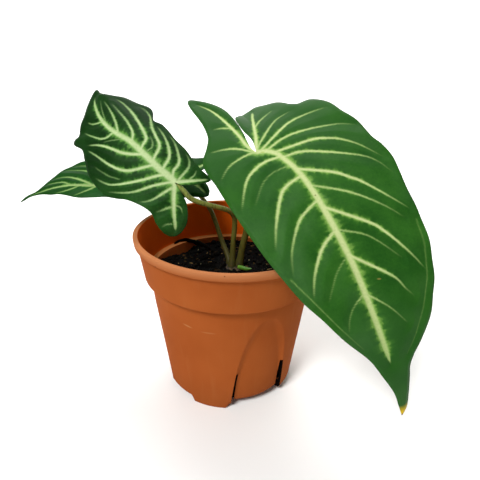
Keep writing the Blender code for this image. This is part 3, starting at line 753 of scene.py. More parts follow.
# Crumbs, flakes of bark, fibres, grit and clods, each with the range of its shade from dark to pale.
bits = [
    (scatter(460, (0.5, 1.4), 0.6, 1.7, 0.98), (0.0, 0.3)),
    (scatter(110, (0.6, 1.4), 0.2, 2.8, 0.95), (0.3, 0.7)),
    (scatter(60, (0.3, 0.45), 0.5, 7.0, 0.9), (0.45, 0.8)),
    (scatter(36, (0.25, 0.5), 0.7, 1.5, 0.95), (0.7, 1.0)),
    (scatter(90, (1.2, 2.2), 0.6, 1.6, 1.0), (0.0, 0.2)),
]
bit_points = np.concatenate([group.reshape(-1, 3) for group, _ in bits])
bit_count = len(bit_points) // len(ball)
bit_faces = (ball_faces[None] + len(ball) * np.arange(bit_count)[:, None, None]).reshape(-1, 3)
bit_tones = [chance.uniform(*tone, len(group)) for group, tone in bits]
bit_shade = np.repeat(np.concatenate(bit_tones), len(ball))
print("loose bits:", bit_count)

# %% [markdown]
# Bark and grit are dry, matt and grainy. Hundreds of bits could have a few materials of their own,
# but one is enough: each bit carries its shade as a mark, and the shade picks a colour from a
# ramp that runs from wet black over the brown of bark to pale sand.

# %% Finish of the bits, and the piece
bit_finish, tree, shader, place = new_finish("bark_and_grit")
shade = add_node(tree, "Attribute", attribute_name="shade")
tone = add_node(
    tree, "ValToRGB", {"Fac": shade.outputs["Fac"]},
    stops=[(0.0, "#020201"), (0.3, "#0C0906"), (0.62, "#4A3518"), (0.85, "#9A8050"), (1.0, "#C9BB98")],
)
fine = add_node(tree, "TexNoise", {"Vector": place, "Scale": cells(0.667), "Detail": 4.0})
grainy = add_node(tree, "Bump", {"Strength": 0.6, "Distance": 0.3 * MM, "Height": fine.outputs["Fac"]})
plug(tree, shader, {"Base Color": tone.outputs["Color"], "Roughness": 0.9, "Normal": grainy.outputs[0],
                    "Specular IOR Level": 0.08})
add_piece("soil_bits", bit_points, bit_faces, bit_finish, (), {"shade": bit_shade}, 20)

# %% [markdown]
# ## The leaves
#
# A caladium leaf is one thin, bent sheet. The sheet lies over a flat plane that is placed by the
# joint, where the stalk comes in, and by three angles. Over it, the height is a formula: an
# arch from joint to tip, halves that droop or fold at the midrib, lobes that drop back, and
# small waves that grow towards the edge. The solids of this plant use the same formula and the
# same outlines, so the finer blade lies where they do.

# %% The front leaf's form
FRONT_LEAF = {
    "joint": (11.6, -7.3, 140.5), "heading": -32.0, "pitch": 53.0, "roll": 52.0,
    "length": 156.0, "arch": 26.0, "droop": 3.0, "fold": (0.08, -0.2), "lobe_drop": (12.0, 0.0),
    "wave": (0.2, 20.0, 0.7, 26.0),
    "midrib": [(0, 0), (1.6, 3.4), (6, 8.3), (12.3, 10.3), (18.5, 12), (27, 12.6), (39, 12.4),
               (64, 10.9), (90.5, 7.5), (115, 5.3), (138.5, 4), (148.5, 2.1), (156.8, -0.9)],
    "left": {
        "sinus": [(0, 0), (-2.7, 0.9), (-6.4, 1.8), (-9.7, 1.7), (-14, 1), (-20, 1),
                  (-24.8, 1.9), (-26.6, 5.5)],
        "lobe": [(-26.6, 5.5), (-27.4, 12), (-28, 17.5), (-25.5, 23), (-23.5, 27.7), (-20.5, 30.4),
                 (-17.3, 32), (-14.3, 35.2), (-13.8, 39), (-13, 42.5), (-9.6, 46.1), (-5, 48.7)],
        "side": [(2, 50.3), (8.2, 52.8), (13, 53.8), (22, 53.8), (28, 55.6), (35.5, 56.4),
                 (44, 54.4), (55.5, 52.4), (65.5, 51), (75, 49.6), (85, 46.5), (96.5, 41.6),
                 (106, 35.8), (113.5, 30.2), (119.5, 23.2), (124.5, 17), (129, 13), (134, 10.9),
                 (144.5, 6.7), (152, 3.4), (156.8, -0.9)],
    },
    "right": {
        "sinus": [(0, 0), (-3.5, -0.9), (-8.3, -0.5), (-13.1, 0.3), (-20, 0.8), (-24.5, 0.9),
                  (-30, 0.1), (-35.6, -1.5), (-41.5, -4.6), (-46.5, -8.2), (-51.8, -13), (-52.4, -15)],
        "lobe": [(-52.4, -15), (-50, -16.3), (-43.3, -16.5), (-36, -16), (-28, -16), (-21, -17.3),
                 (-17.5, -19.3), (-14.4, -21.8), (-11.4, -24.7), (-8.2, -26.7), (-3.8, -27.4)],
        "side": [(1, -27.2), (5, -26.6), (15.5, -26.2), (26.5, -25.5), (36.5, -24.6), (47.5, -23.4),
                 (57.5, -21.8), (73, -18.7), (84.5, -14.8), (98.5, -10.5), (114, -4.3),
                 (125.5, -2.1), (139, -0.1), (148.5, -0.5), (156.8, -0.9)],
    },
    "rows": (96, 244),
    "columns": {"left": 82, "right": 62},
}
print("front leaf:", FRONT_LEAF["length"], "mm from joint to tip")

# %% The left leaf's form
LEFT_LEAF = {
    "joint": (-30.0, -10.5, 124.5), "heading": 137.0, "pitch": -30.5, "roll": -45.0,
    "length": 79.0, "arch": 7.0, "droop": 8.0, "fold": (0.08, 0.6), "lobe_drop": (0.0, 0.0),
    "wave": (0.2, 13.0, 0.6, 15.0),
    "midrib": [(0, 0), (7.3, 0.7), (15.6, 1.7), (24, 2.3), (32, 3.3), (40, 5.6), (48, 7.2),
               (56, 7.8), (63.4, 7.1), (71, 5), (75, 3), (79.3, -0.3)],
    "left": {
        "sinus": [(0, 0), (-4, 0.6), (-7.3, 1.2), (-11, 2.4), (-15, 5.5), (-18, 9.3), (-19.1, 13.9),
                  (-18.6, 17.8)],
        "lobe": [(-18.6, 17.8), (-16.6, 20.4), (-13.1, 21.8), (-7.8, 21.4), (-3.5, 20)],
        "side": [(0, 20.2), (5, 22), (11.6, 25.4), (18.8, 31.3), (23, 33), (28, 33.5), (33, 33.3),
                 (39.5, 32), (45.3, 29.2), (50, 27.3), (53.6, 27.3), (58, 28.9), (60.3, 28), (61, 26),
                 (60.6, 24), (64.2, 20.5), (68, 15.8), (73.8, 8.7), (78.2, 2.6), (79.3, -0.3)],
    },
    "right": {
        "sinus": [(0, 0), (-2.9, -1.9), (-5.4, -6.7), (-6.8, -12.8), (-6.6, -15.4)],
        "lobe": [(-6.6, -15.4), (-4.5, -15.9), (0.2, -15.2)],
        "side": [(3.5, -15.3), (7.5, -15.4), (14, -16), (22, -15.4), (27, -15.7), (33.4, -15.5),
                 (37.9, -13.4), (43.7, -16), (48, -16.6), (53.5, -13.6), (62.4, -9.7), (67, -6),
                 (73.4, -1.4), (77.5, -1.2), (79.3, -0.3)],
    },
    "rows": (44, 156),
    "columns": {"left": 62, "right": 40},
}
print("left leaf:", LEFT_LEAF["length"], "mm from joint to tip")

# %% The back leaf's form
BACK_LEAF = {
    "joint": (-28.5, 19.0, 119.5), "heading": -177.5, "pitch": 8.5, "roll": -30.0,
    "length": 96.0, "arch": 7.0, "droop": 6.0, "fold": (0.12, 0.12), "lobe_drop": (0.0, 0.0),
    "wave": (0.2, 15.0, 0.6, 15.0),
    "midrib": [(0, 0), (20, 1.5), (40, 3.6), (51, 3.7), (57, 2.3), (65, 0.4), (76, -0.4), (84, 0.1),
               (90, 0.4), (95.3, 2.6)],
    "left": {
        "sinus": [(0, 0), (-4, 0.8), (-9, 1.6), (-12.5, 3.8), (-13.9, 8)],
        "lobe": [(-13.9, 8), (-13, 11.3), (-10.5, 12.8), (-5, 13.5)],
        "side": [(2, 14.5), (12, 16), (24, 16), (36, 14.5), (44, 12.4), (49, 11.8), (56, 11),
                 (60.7, 9.6), (66, 7.2), (71, 5.1), (76, 4), (81, 2.2), (85.7, 1.3), (89.5, 1.2),
                 (92.5, 2.1), (95.3, 2.6)],
    },
    "right": {
        "sinus": [(0, 0), (-3, -1.5), (-7, -5), (-12, -10), (-18, -18)],
        "lobe": [(-18, -18), (-16, -20.3), (-11.6, -21.3), (-4.5, -20.4)],
        "side": [(3, -20.8), (12, -23), (24, -25), (36, -25.5), (48, -24), (56, -21.8), (62.6, -20),
                 (68.3, -17.8), (73.6, -14), (78, -9.4), (83.2, -3.4), (86.5, -1.1), (90, -0.5),
                 (93, 0.7), (95.3, 2.6)],
    },
    "rows": (34, 150),
    "columns": {"left": 34, "right": 48},
}
print("back leaf:", BACK_LEAF["length"], "mm from joint to tip")

# %% The sheet of a leaf


def leaf_axes(leaf):
    """Unit vectors of a leaf: forward to the tip, its own left, and out of the upper face."""
    heading, pitch, roll = (math.radians(leaf[k]) for k in ("heading", "pitch", "roll"))
    forward = np.array([math.cos(pitch) * math.cos(heading), math.cos(pitch) * math.sin(heading),
                        -math.sin(pitch)])
    level = np.array([-math.sin(heading), math.cos(heading), 0.0])
    left = math.cos(roll) * level + math.sin(roll) * np.cross(forward, level)
    return np.stack([forward, left, np.cross(forward, left)])


def leaf_height(leaf, x, y):
    """Height over the leaf's plane: arch * 4s(1 - s), minus a droop with the square of y, minus a
    fold with the size of y, minus the lobes' drop, plus a sine wave that grows to the edge."""
    s = x / leaf["length"]
    side = (y < 0).astype(int)
    fold = np.take(leaf["fold"], side)
    drop = np.take(leaf["lobe_drop"], side)
    size, step, slant, reach = leaf["wave"]
    back = np.clip(-x / 25, 0, 3) ** 2 * np.clip(np.abs(y) / 8, 0, 1)
    wave = np.sin(2 * math.pi * (x - slant * np.abs(y)) / step)
    return (leaf["arch"] * 4 * s * (1 - s) - leaf["droop"] * (y / 50) ** 2
            - fold * (np.sqrt(y**2 + 4) - 2) - drop * back
            + size * wave * np.clip(np.abs(y) / reach, 0, 1.4) ** 2)


def leaf_place(leaf, flat, above=0.0):
    """Points over flat (x, y) places on a leaf, at a height above its upper face."""
    high = leaf_height(leaf, flat[..., 0], flat[..., 1]) + above
    local = np.concatenate([flat, high[..., None]], axis=-1)
    return np.array(leaf["joint"]) + local @ leaf_axes(leaf)


for leaf in (FRONT_LEAF, LEFT_LEAF, BACK_LEAF):
    tip = leaf_place(leaf, np.array(leaf["midrib"][-1]))
    print("tip at", tip.round(1), "mm")

# %% [markdown]
# ## The veins
#
# The veins are what makes this plant: a cream midrib, side veins that run out and bend towards
# the tip, and a bright green glow round each. A painted image would do, but it would be fixed
# in its sharpness. Here each vein is a line on the flat leaf, and every point of the blade
# works out its distance to the nearest one. Four numbers are kept with each point: how much
# vein it is, how much glow, how far along the leaf it lies and whether it is on the under side.
#
# A vein is (width at its start, near its middle and at its end, points), all in millimetres.
# The first is the midrib, and the next two run out into the lobes.

# %% Veins of the front leaf
FRONT_VEINS = [
    (2.2, 3.0, 2.6, [(0, 0), (3, 6.3), (6, 8.4), (12, 10.3), (18.5, 12), (27, 12.6), (39, 12.4),
                     (64, 10.9), (78, 9.4), (104, 6.3), (122, 4.4)]),
    (1.5, 1.1, 0.3, [(0, 0), (-6, -2.2), (-12.5, -2.4), (-24.5, -4.2), (-36, -7), (-46, -12)]),
    (1.6, 1.2, 0.7, [(0, 0), (-7, 4.2), (-13, 7), (-20, 10.5), (-25, 13.5)]),
    (0.4, 0.5, 0.2, [(-0.5, -1), (-6, -6.5), (-9.5, -12.5), (-12, -20.5)]),
    (0.4, 0.35, 0.15, [(-19.5, -3.6), (-22.5, -8.5), (-24, -12.5)]),
    (0.5, 0.4, 0.15, [(0, 0), (-1, -5.5), (0, -15.5), (4.5, -23)]),
    (0.6, 0.75, 0.25, [(8.5, 9), (7, 0), (9, -8.5), (13, -14), (22.5, -21.5)]),
    (0.15, 0.12, 0.1, [(15, 11), (14, 2.5), (16, -5.5), (23.5, -14.5)]),
    (0.8, 0.95, 0.25, [(22, 12.2), (23, 3.5), (26, -2), (36.5, -11), (46.5, -17.5)]),
    (0.6, 0.55, 0.12, [(36, 12.4), (38, 5), (41, -1.5), (50.5, -11), (60.5, -16.5)]),
    (0.8, 0.8, 0.25, [(52, 11.7), (56, 2.5), (61, -3.5), (67, -9), (74, -13.3)]),
    (0.15, 0.12, 0.1, [(64.5, 10.8), (69, 2.5), (73.5, -2.5), (79, -8)]),
    (0.4, 0.12, 0.1, [(84, 8.6), (86.5, 2), (90.5, -3), (96, -6.5)]),
    (0.1, 0.1, 0.05, [(61.5, -18.3), (75, -14.3), (92, -9.5), (108, -4.2)]),
    (0.35, 0.35, 0.12, [(-13, 7), (-16, 12.5), (-18.5, 22)]),
    (0.4, 0.45, 0.15, [(-1, 1), (-5, 7), (-11, 18.5), (-12, 28.5)]),
    (0.5, 0.6, 0.2, [(0.5, 2.5), (-4, 16), (-6, 24.5), (-5.5, 34), (-3.5, 45)]),
    (0.5, 0.5, 0.15, [(2, 5.5), (0.5, 15), (2, 26.5), (7.5, 43), (12.5, 51)]),
    (0.6, 0.65, 0.15, [(5, 8), (8.5, 27), (12, 34.5), (16, 40), (23, 46), (33.5, 52)]),
    (0.6, 0.55, 0.1, [(9.5, 9.5), (11, 18), (16, 27), (26.5, 41.5), (33, 47.5), (42, 51)]),
    (0.8, 0.8, 0.2, [(18, 12), (28, 26), (34, 31.5), (40.5, 36.5), (61, 48)]),
    (0.35, 0.42, 0.12, [(28, 12.7), (40, 27), (53, 37.5), (63, 43.5)]),
    (0.9, 0.85, 0.25, [(40, 12.4), (56.5, 27), (63, 31), (79.5, 37.5), (89, 40)]),
    (0.3, 0.2, 0.1, [(52, 11.8), (62, 23.5), (78.5, 32.5)]),
    (0.8, 0.7, 0.12, [(65, 10.8), (83.5, 24), (92, 27), (97.5, 29.2)]),
    (0.45, 0.2, 0.1, [(84, 8.6), (96, 16), (107.5, 20.5)]),
    (0.05, 0.07, 0.05, [(67, 48.3), (80, 45), (89, 41), (98.5, 35.6), (106.5, 29.5), (115, 22), (122, 14)]),
]
print("front leaf:", len(FRONT_VEINS), "veins")

# %% Veins of the left leaf
LEFT_VEINS = [
    (4.2, 3.0, 0.8, [(0, 0), (4.4, 0.2), (9.7, 1.4), (15.7, 1.9), (21.8, 2.5), (27.4, 2.9), (32.9, 3.7),
                     (38.5, 5.4), (43.7, 6.9), (50, 7.9), (55.6, 8.1), (61.7, 7.5), (67.7, 6.1),
                     (71.2, 4.8), (74.2, 2.9)]),
    (2.4, 1.8, 1.1, [(0, 0), (-3.9, 4.4), (-7.4, 7.9), (-11, 11.3), (-14.4, 14), (-16.6, 16.2)]),
    (2.2, 1.5, 0.5, [(0, 0), (-1.6, -3.8), (-3.4, -8.1), (-4.8, -11.7), (-5.6, -14.6)]),
    (0.6, 0.45, 0.16, [(42, 5.4), (45.7, 3.6), (52.2, 1.8), (59.2, 0.8), (65.9, 0.4)]),
    (0.15, 0.15, 0.08, [(53, 6.8), (57.9, 5.5), (63.9, 3.5), (68.2, 1.6)]),
    (0.75, 0.45, 0.16, [(31.5, 3.4), (34.2, 0.1), (38.8, -1.3), (45.4, -2.1), (52, -2.1), (60.4, -2.1)]),
    (0.9, 0.75, 0.28, [(24.5, 2.4), (27.7, -3.4), (33.1, -5.2), (40.1, -6.4), (48.9, -7.2),
                      (57.4, -6.8), (63.2, -5.5)]),
    (0.19, 0.22, 0.12, [(21.5, 0.2), (21.9, -2.8), (24.5, -4.9), (29.3, -6.3)]),
    (0.9, 0.68, 0.24, [(15, 1.9), (18.9, -4.2), (22, -7), (27.4, -8.4), (33.9, -10.1), (40.4, -12.9),
                     (45.6, -13.7), (51.1, -12.6)]),
    (0.9, 0.68, 0.24, [(8.5, 0.8), (12.4, -5.7), (16.6, -8.7), (21.6, -10.8), (27.2, -12.1), (33.6, -12.6)]),
    (0.83, 0.6, 0.2, [(2, 0), (5.7, -4), (7.3, -7.4), (10.3, -10), (15, -12.1), (20.2, -13.8),
                      (25.2, -14.4)]),
    (0.6, 0.45, 0.16, [(0, -2), (2.4, -7.8), (4.7, -11.5), (7.9, -13.7), (11.6, -14.6)]),
    (0.3, 0.26, 0.12, [(-2, -7), (-0.9, -10.5), (1, -12.9)]),
    (0.38, 0.38, 0.2, [(54.5, 8), (56.8, 11.4), (59, 13.6), (62.3, 15)]),
    (0.52, 0.45, 0.2, [(43.8, 7), (44.2, 11.2), (46.3, 14.5), (50, 16.7), (54.4, 18.7), (58.8, 20.1)]),
    (0.11, 0.15, 0.1, [(36.9, 6.6), (40.6, 10.7), (44.1, 15.2)]),
    (1.2, 1.05, 0.4, [(21.5, 2.6), (26.3, 7.5), (31.2, 11.1), (36.8, 13.7), (42.5, 16.5), (47.1, 19.6),
                     (50.7, 22.9)]),
    (1.05, 0.9, 0.32, [(13.5, 1.9), (16.9, 8.1), (19.9, 13.1), (23.2, 16.4), (27.6, 18.9), (33.1, 20.7),
                     (39.3, 22.2), (44.2, 23.5), (48.3, 24.7)]),
    (0.09, 0.15, 0.1, [(21.5, 21), (27.1, 24.2), (33.3, 26.3), (37.4, 27.1)]),
    (1.05, 0.83, 0.28, [(6, 0.8), (8.9, 5.8), (11.2, 10.3), (14.1, 15.2), (17.4, 20.1), (20.7, 24.2),
                      (23.8, 27.1), (27.4, 28.9), (32.1, 30.7)]),
    (0.83, 0.6, 0.16, [(1, 0.8), (4.3, 6.4), (6.5, 10.3), (8.7, 15), (11.2, 19.6), (14.8, 24.1),
                     (19.1, 28.2), (21.4, 30.3)]),
    (0.68, 0.6, 0.2, [(-1.4, 1.6), (-0.3, 6.4), (0.5, 10.8), (1.4, 14.4), (2.9, 17.6), (5.3, 20.6)]),
    (0.38, 0.34, 0.12, [(-8, 8.6), (-6.3, 12.3), (-5.2, 15), (-3.8, 17.8)]),
    (0.3, 0.26, 0.12, [(-7.6, 8), (-10.6, 6.3), (-13.2, 7.4)]),
    (0.19, 0.19, 0.1, [(-13.3, 15.4), (-11.7, 17.9), (-11.2, 20.4)]),
]
print("left leaf:", len(LEFT_VEINS), "veins")

# %% [markdown]
# The back leaf is mostly hidden from the front, so its veins follow the habit of the others:
# they leave the midrib at even steps, and bend towards the tip before they reach the edge.

# %% Veins of the back leaf
BACK_VEINS = [
    (2.2, 1.6, 0.4, [(0, 0), (20, 1.5), (40, 3.6), (51, 3.7), (57, 2.3), (65, 0.4), (76, -0.4),
                     (84, 0.1), (90, 0.5)]),
    (1.8, 1.4, 0.5, [(0, 0), (-4, 3.2), (-8.5, 7), (-11.5, 10.5)]),
    (1.8, 1.5, 0.5, [(0, 0), (-4, -5), (-9.5, -12), (-15.5, -18.5)]),
    (0.6, 0.6, 0.2, [(51, 3.7), (55, 0.5), (62, -4.5), (68, -7.5), (76, -9)]),
    (0.3, 0.4, 0.2, [(46, 3.7), (50, -4), (57, -10), (70, -15)]),
    (0.5, 0.5, 0.2, [(40, 3.6), (45, -6), (53, -13), (65, -17.5)]),
    (0.4, 0.4, 0.2, [(64, 0.6), (70, -3.5), (80, -5)]),
    (0.5, 0.5, 0.2, [(47, 3.7), (53, 6.4), (62, 8.6)]),
    (0.4, 0.4, 0.2, [(58, 2), (64, 3.8), (73, 4.4)]),
]
rib = np.array(BACK_LEAF["midrib"])
for start in (3, 12, 21, 30):
    rise = np.interp(start, rib[:, 0], rib[:, 1])
    for half, sign in (("left", 1), ("right", -1)):
        side_line = np.array(BACK_LEAF[half]["side"])
        end = start + (14 if sign > 0 else 20)
        edge = np.interp(end, side_line[:, 0], side_line[:, 1]) * 0.92
        middle = rise + (edge - rise) * 0.62
        points = [(start, rise), (start + (end - start) * 0.3, middle), (end, edge)]
        BACK_VEINS.append((0.8, 0.7, 0.2, points))
print("back leaf:", len(BACK_VEINS), "veins")

# %% [markdown]
# The distance from a point to a short straight piece of vein is that to its nearest place: the
# point's shadow on the line, held between the two ends. Twenty-four straight pieces stand for one
# vein, and the smallest distance counts. Round a real vein the bright glow is feathered: it is
# drawn out into short strokes. So its reach swings along the vein, by four sine waves with
# chance phases, and each side of each vein has its own.
#
# The same numbers also shape the blade: a vein lies in a shallow groove on the upper face and
# stands out as a rib below, and the skin between two veins swells a little.

# %% Vein, glow and relief at every point
VEIN_PIECES = 24
MAIN_VEINS = 3
LONGEST_GLOW = 11.0
FAR = 99.0


def feathered(run, seed):
    """The reach of a glow at a distance along its vein: 1 plus four sine waves, never below 0.3."""
    phases = np.random.default_rng(seed).uniform(0, 2 * math.pi, 4)
    swing = sum(
        size * np.sin(2 * math.pi * run / length + phase)
        for size, length, phase in zip((0.18, 0.26, 0.24, 0.22), (1.9, 3.3, 6.1, 12.7), phases)
    )
    return np.maximum(1 + swing, 0.3)


def vein_field(flat, veins, spread):
    """For each flat point: the strength of vein, of glow and of rib, and the distance to a vein.
    Vein falls off between 0.4 of its half width and half a millimetre beyond its side, glow as
    e^-((distance / reach)^1.3). A thin vein is weaker, and so is the end of any vein. The glow
    reaches furthest where a vein leaves the midrib, and shrinks along it."""
    vein, glow, rib = (np.zeros(len(flat)) for _ in range(3))
    nearest = np.full(len(flat), FAR)
    for number, (first, middle, last, points) in enumerate(veins):
        line = smooth_line(points, VEIN_PIECES + 1)
        start, run = line[:-1], np.diff(line, axis=0)
        lengths = np.linalg.norm(run, axis=1)
        low, high = line.min(axis=0) - LONGEST_GLOW, line.max(axis=0) + LONGEST_GLOW
        close = np.flatnonzero(((flat > low) & (flat < high)).all(axis=1))
        off = flat[close][:, None] - start[None]
        share = np.clip((off * run).sum(axis=2) / lengths**2, 0, 1)
        gap = np.linalg.norm(off - share[..., None] * run, axis=2)
        best = gap.argmin(axis=1)
        picked = np.arange(len(close)), best
        distance = gap[picked]
        side = off[picked][:, 0] * run[best, 1] - off[picked][:, 1] * run[best, 0] > 0
        passed = lengths.sum() * (best + share[picked]) / len(run)
        along = passed / lengths.sum()
        half = np.interp(along, (0, 0.4, 0.93, 1), (first, middle, last, 0)) / 2
        strength = np.clip(2.9 * half + 0.05, 0.1, 1.0) * (1 - 0.5 * along**4)
        fade = 0.8 if number == 0 else 1.35 - 0.95 * along
        reach = spread * (0.2 + 0.85 * half) * fade
        reach = reach * np.where(side, feathered(passed, 2 * number), feathered(passed, 2 * number + 1))
        core = 1 - smooth_step(half * 0.4, half + 0.5, distance)
        shine = np.exp(-((np.maximum(distance - half * 0.8, 0) / reach) ** 1.3))
        vein[close] = np.maximum(vein[close], strength**1.2 * core)
        glow[close] = np.maximum(glow[close], np.sqrt(strength) * shine)
        weight = 1.0 if number < MAIN_VEINS else 0.35
        rib[close] = np.maximum(rib[close], weight * np.exp(-((distance / (half + 0.8)) ** 2)))
        nearest[close] = np.minimum(nearest[close], distance)
    return vein, glow, rib, nearest


sample = vein_field(np.array([[64.0, 10.9], [70.0, 20.0]]), FRONT_VEINS, 1.0)
print("on the midrib and beside it, vein is", sample[0].round(2), "and glow", sample[1].round(2))

# %% [markdown]
# A half of the blade is a ruled grid. Its rows join a place on the inner line, which runs from
# the lobe's tip along the sinus to the joint and up the midrib, to one on the outer edge. The
# upper skin is both halves, the lower skin is the same grid a little lower, and a strip round
# the edge closes them into one thin body.

# %% Blades
EDGE_POINTS = 1600
BLADE = 0.6
SWELL, GROOVE = 0.9, 0.4


def leaf_half(leaf, side):
    """Flat grid of one half, rows from the lobe's tip to the leaf's tip, columns to the edge."""
    half = leaf[side]
    lobe_rows, blade_rows = leaf["rows"]
    outer = smooth_line(half["lobe"] + half["side"], EDGE_POINTS)
    shoulder = np.argmin(np.linalg.norm(outer - np.array(half["side"][0]), axis=1))
    inner = np.vstack([smooth_line(half["sinus"], lobe_rows + 1)[::-1],
                       smooth_line(leaf["midrib"], blade_rows + 1)[1:]])
    places = np.concatenate([np.linspace(0, shoulder, lobe_rows + 1),
                             np.linspace(shoulder, EDGE_POINTS - 1, blade_rows + 1)[1:]])
    edge = np.stack([np.interp(places, np.arange(EDGE_POINTS), column) for column in outer.T], axis=1)
    across = np.linspace(0, 1, leaf["columns"][side] + 1)[None, :, None]
    return inner[:, None] + (edge - inner)[:, None] * across


def make_blade(name, leaf, veins, spread, finish, node):
    """A closed blade: two skins over both halves, with the vein marks at every point."""
    flats, squares, start = [], [], 0
    for side in ("left", "right"):
        grid = leaf_half(leaf, side)
        rows, columns = grid.shape[:2]
        half_squares = grid_squares(rows, columns) + start
        flats.append(grid.reshape(-1, 2))
        squares.append(half_squares if side == "left" else half_squares[:, ::-1])
        start += rows * columns
    flat = np.vstack(flats)
    kept, faces = welded(np.column_stack([flat, np.zeros(len(flat))]), np.vstack(squares))
    flat = flat[kept]
    vein, glow, rib, nearest = vein_field(flat, veins, spread)
    ends = np.concatenate([faces[:, [0, 1]], faces[:, [1, 2]], faces[:, [2, 0]]])
    _, first, count = np.unique(np.sort(ends, axis=1), axis=0, return_index=True, return_counts=True)
    rim = ends[first[count == 1]]
    rim_points = flat[np.unique(rim)]
    from_edge = np.concatenate([
        np.linalg.norm(part[:, None] - rim_points[None], axis=2).min(axis=1)
        for part in np.array_split(flat, max(1, len(flat) // 3000))
    ])
    inside = smooth_step(0, 2.0, from_edge)
    swell = (SWELL * (1 - np.exp(-((nearest / 3.5) ** 2))) - GROOVE * rib) * inside
    upper = leaf_place(leaf, flat, swell)
    lower = leaf_place(leaf, flat, swell - BLADE - (0.4 * rib + 0.6 * rib**3) * inside)
    total = len(flat)
    skirt = np.column_stack([rim[:, 1], rim[:, 0], rim[:, 0] + total, rim[:, 1] + total])
    faces = np.vstack([faces, faces[:, ::-1] + total, skirt[:, [0, 1, 2]], skirt[:, [0, 2, 3]]])
    marks = {
        "vein": np.concatenate([vein, vein]),
        "glow": np.concatenate([glow, glow]),
        "along": np.concatenate([flat[:, 0], flat[:, 0]]) / leaf["length"],
        "under": np.repeat([0.0, 1.0], total),
    }
    return add_piece(name, np.vstack([upper, lower]), faces, finish, [node], marks)


print("a blade is", BLADE, "mm thick")

# %% [markdown]
# A living leaf has a waxy skin over green tissue: a satin gloss, a colour that is deeper between
# the veins and paler near them, and a dull, greyer under side. The glow's edge is feathered
# where the smallest veins run out, so noise at the millimetre scale shakes it. Painted light lies
# over the field: wide patches of painted sheen in the greyer colour of the under side, and painted
# shade that deepens the green away from one place along the midrib, given as a share of its
# length, where the light falls most.

# %% Finish of a blade


def leaf_finish(name, best_lit_place, deep, fresh, rim, bright, cream, below, tip=(), marks=()):
    """A waxy leaf: over a field of two greens lie coats of painted sheen, painted shade, glow, cream
    veins, the tip's colours and blemishes, and on the under side a dull one."""
    finish, tree, shader, place = new_finish(name)
    mark = {
        key: add_node(tree, "Attribute", attribute_name=key).outputs["Fac"]
        for key in ("vein", "glow", "along", "under")
    }
    clouds = add_node(tree, "TexNoise", {"Vector": place, "Scale": cells(16.7), "Detail": 3.0})
    fine = add_node(tree, "TexNoise", {"Vector": place, "Scale": cells(1.11), "Detail": 3.0,
                                       "Roughness": 0.6})
    mottle = add_node(tree, "Mix", {"Factor": 0.3, "A": clouds.outputs["Fac"], "B": fine.outputs["Fac"]})
    field = add_node(tree, "ValToRGB", {"Fac": mottle.outputs[0]}, stops=[(0.37, deep), (0.63, fresh)])
    # Painted sheen: wide patches of the upper face take the greyer colour of the under side, where a gloss
    # would show.
    wide = add_node(tree, "TexNoise", {"Vector": place, "Scale": cells(41.7), "Detail": 2.0})
    painted_sheen = add_node(tree, "MapRange", {"Value": wide.outputs["Fac"], "From Min": 0.45, "From Max": 0.75,
                                       "To Min": 0.0, "To Max": 0.4})
    # Painted shade: the green deepens away from the best-lit place along the midrib.
    off_middle = add_node(tree, "Math", {0: mark["along"], 1: best_lit_place}, operation="SUBTRACT")
    from_best_lit = add_node(tree, "Math", {0: off_middle.outputs[0]}, operation="ABSOLUTE")
    depth = add_node(tree, "MapRange", {"Value": from_best_lit.outputs[0], "From Min": 0.12, "From Max": 0.42,
                                        "To Min": 0.0, "To Max": 0.65})
    shake = add_node(tree, "MapRange", {"Value": fine.outputs["Fac"], "From Min": 0.3, "From Max": 0.7,
                                        "To Min": 0.75, "To Max": 1.25})
    frayed = add_node(tree, "Math", {0: mark["glow"], 1: shake.outputs[0]}, operation="MULTIPLY")
    outer = add_node(tree, "MapRange", {"Value": frayed.outputs[0], "From Min": 0.03, "From Max": 0.8})
    inner = add_node(tree, "MapRange", {"Value": frayed.outputs[0], "From Min": 0.3, "From Max": 1.0})
    uneven = add_node(tree, "MapRange", {"Value": fine.outputs["Fac"], "From Min": 0.3, "From Max": 0.7,
                                         "To Min": 0.8, "To Max": 1.1})
    pale = add_node(tree, "Math", {0: mark["vein"], 1: uneven.outputs[0]}, operation="MULTIPLY",
                    use_clamp=True)
    coats = [(painted_sheen.outputs[0], below), (depth.outputs[0], deep), (outer.outputs[0], rim),
             (inner.outputs[0], bright), (pale.outputs[0], cream)]
    for first, last, tone in tip:
        near_tip = add_node(tree, "MapRange", {"Value": mark["along"], "From Min": first, "From Max": last})
        coats.append((near_tip.outputs[0], tone))
    for leaf, flat, size, tone in marks:
        coats.append((spot(tree, place, leaf_place(leaf, np.array(flat)), size), tone))
    dull = add_node(tree, "MapRange", {"Value": mark["under"], "To Max": 0.6})
    coats.append((dull.outputs[0], below))
    colour = field.outputs["Color"]
    for mask, tone in coats:
        coat = add_node(tree, "Mix", {"Factor": mask, "A": colour, "B": linear(tone)}, data_type="RGBA")
        colour = coat.outputs["Result"]
    wax = add_node(tree, "MapRange", {"Value": mark["under"], "To Min": 0.5, "To Max": 0.7})
    skin = add_node(tree, "Bump", {"Strength": 0.12, "Distance": 0.3 * MM, "Height": fine.outputs["Fac"]})
    plug(tree, shader, {"Base Color": colour, "Roughness": wax.outputs[0], "Normal": skin.outputs[0],
                        "Specular IOR Level": 0.06})
    print(name, "has", len(coats), "coats and", len(tree.nodes), "nodes")
    return finish


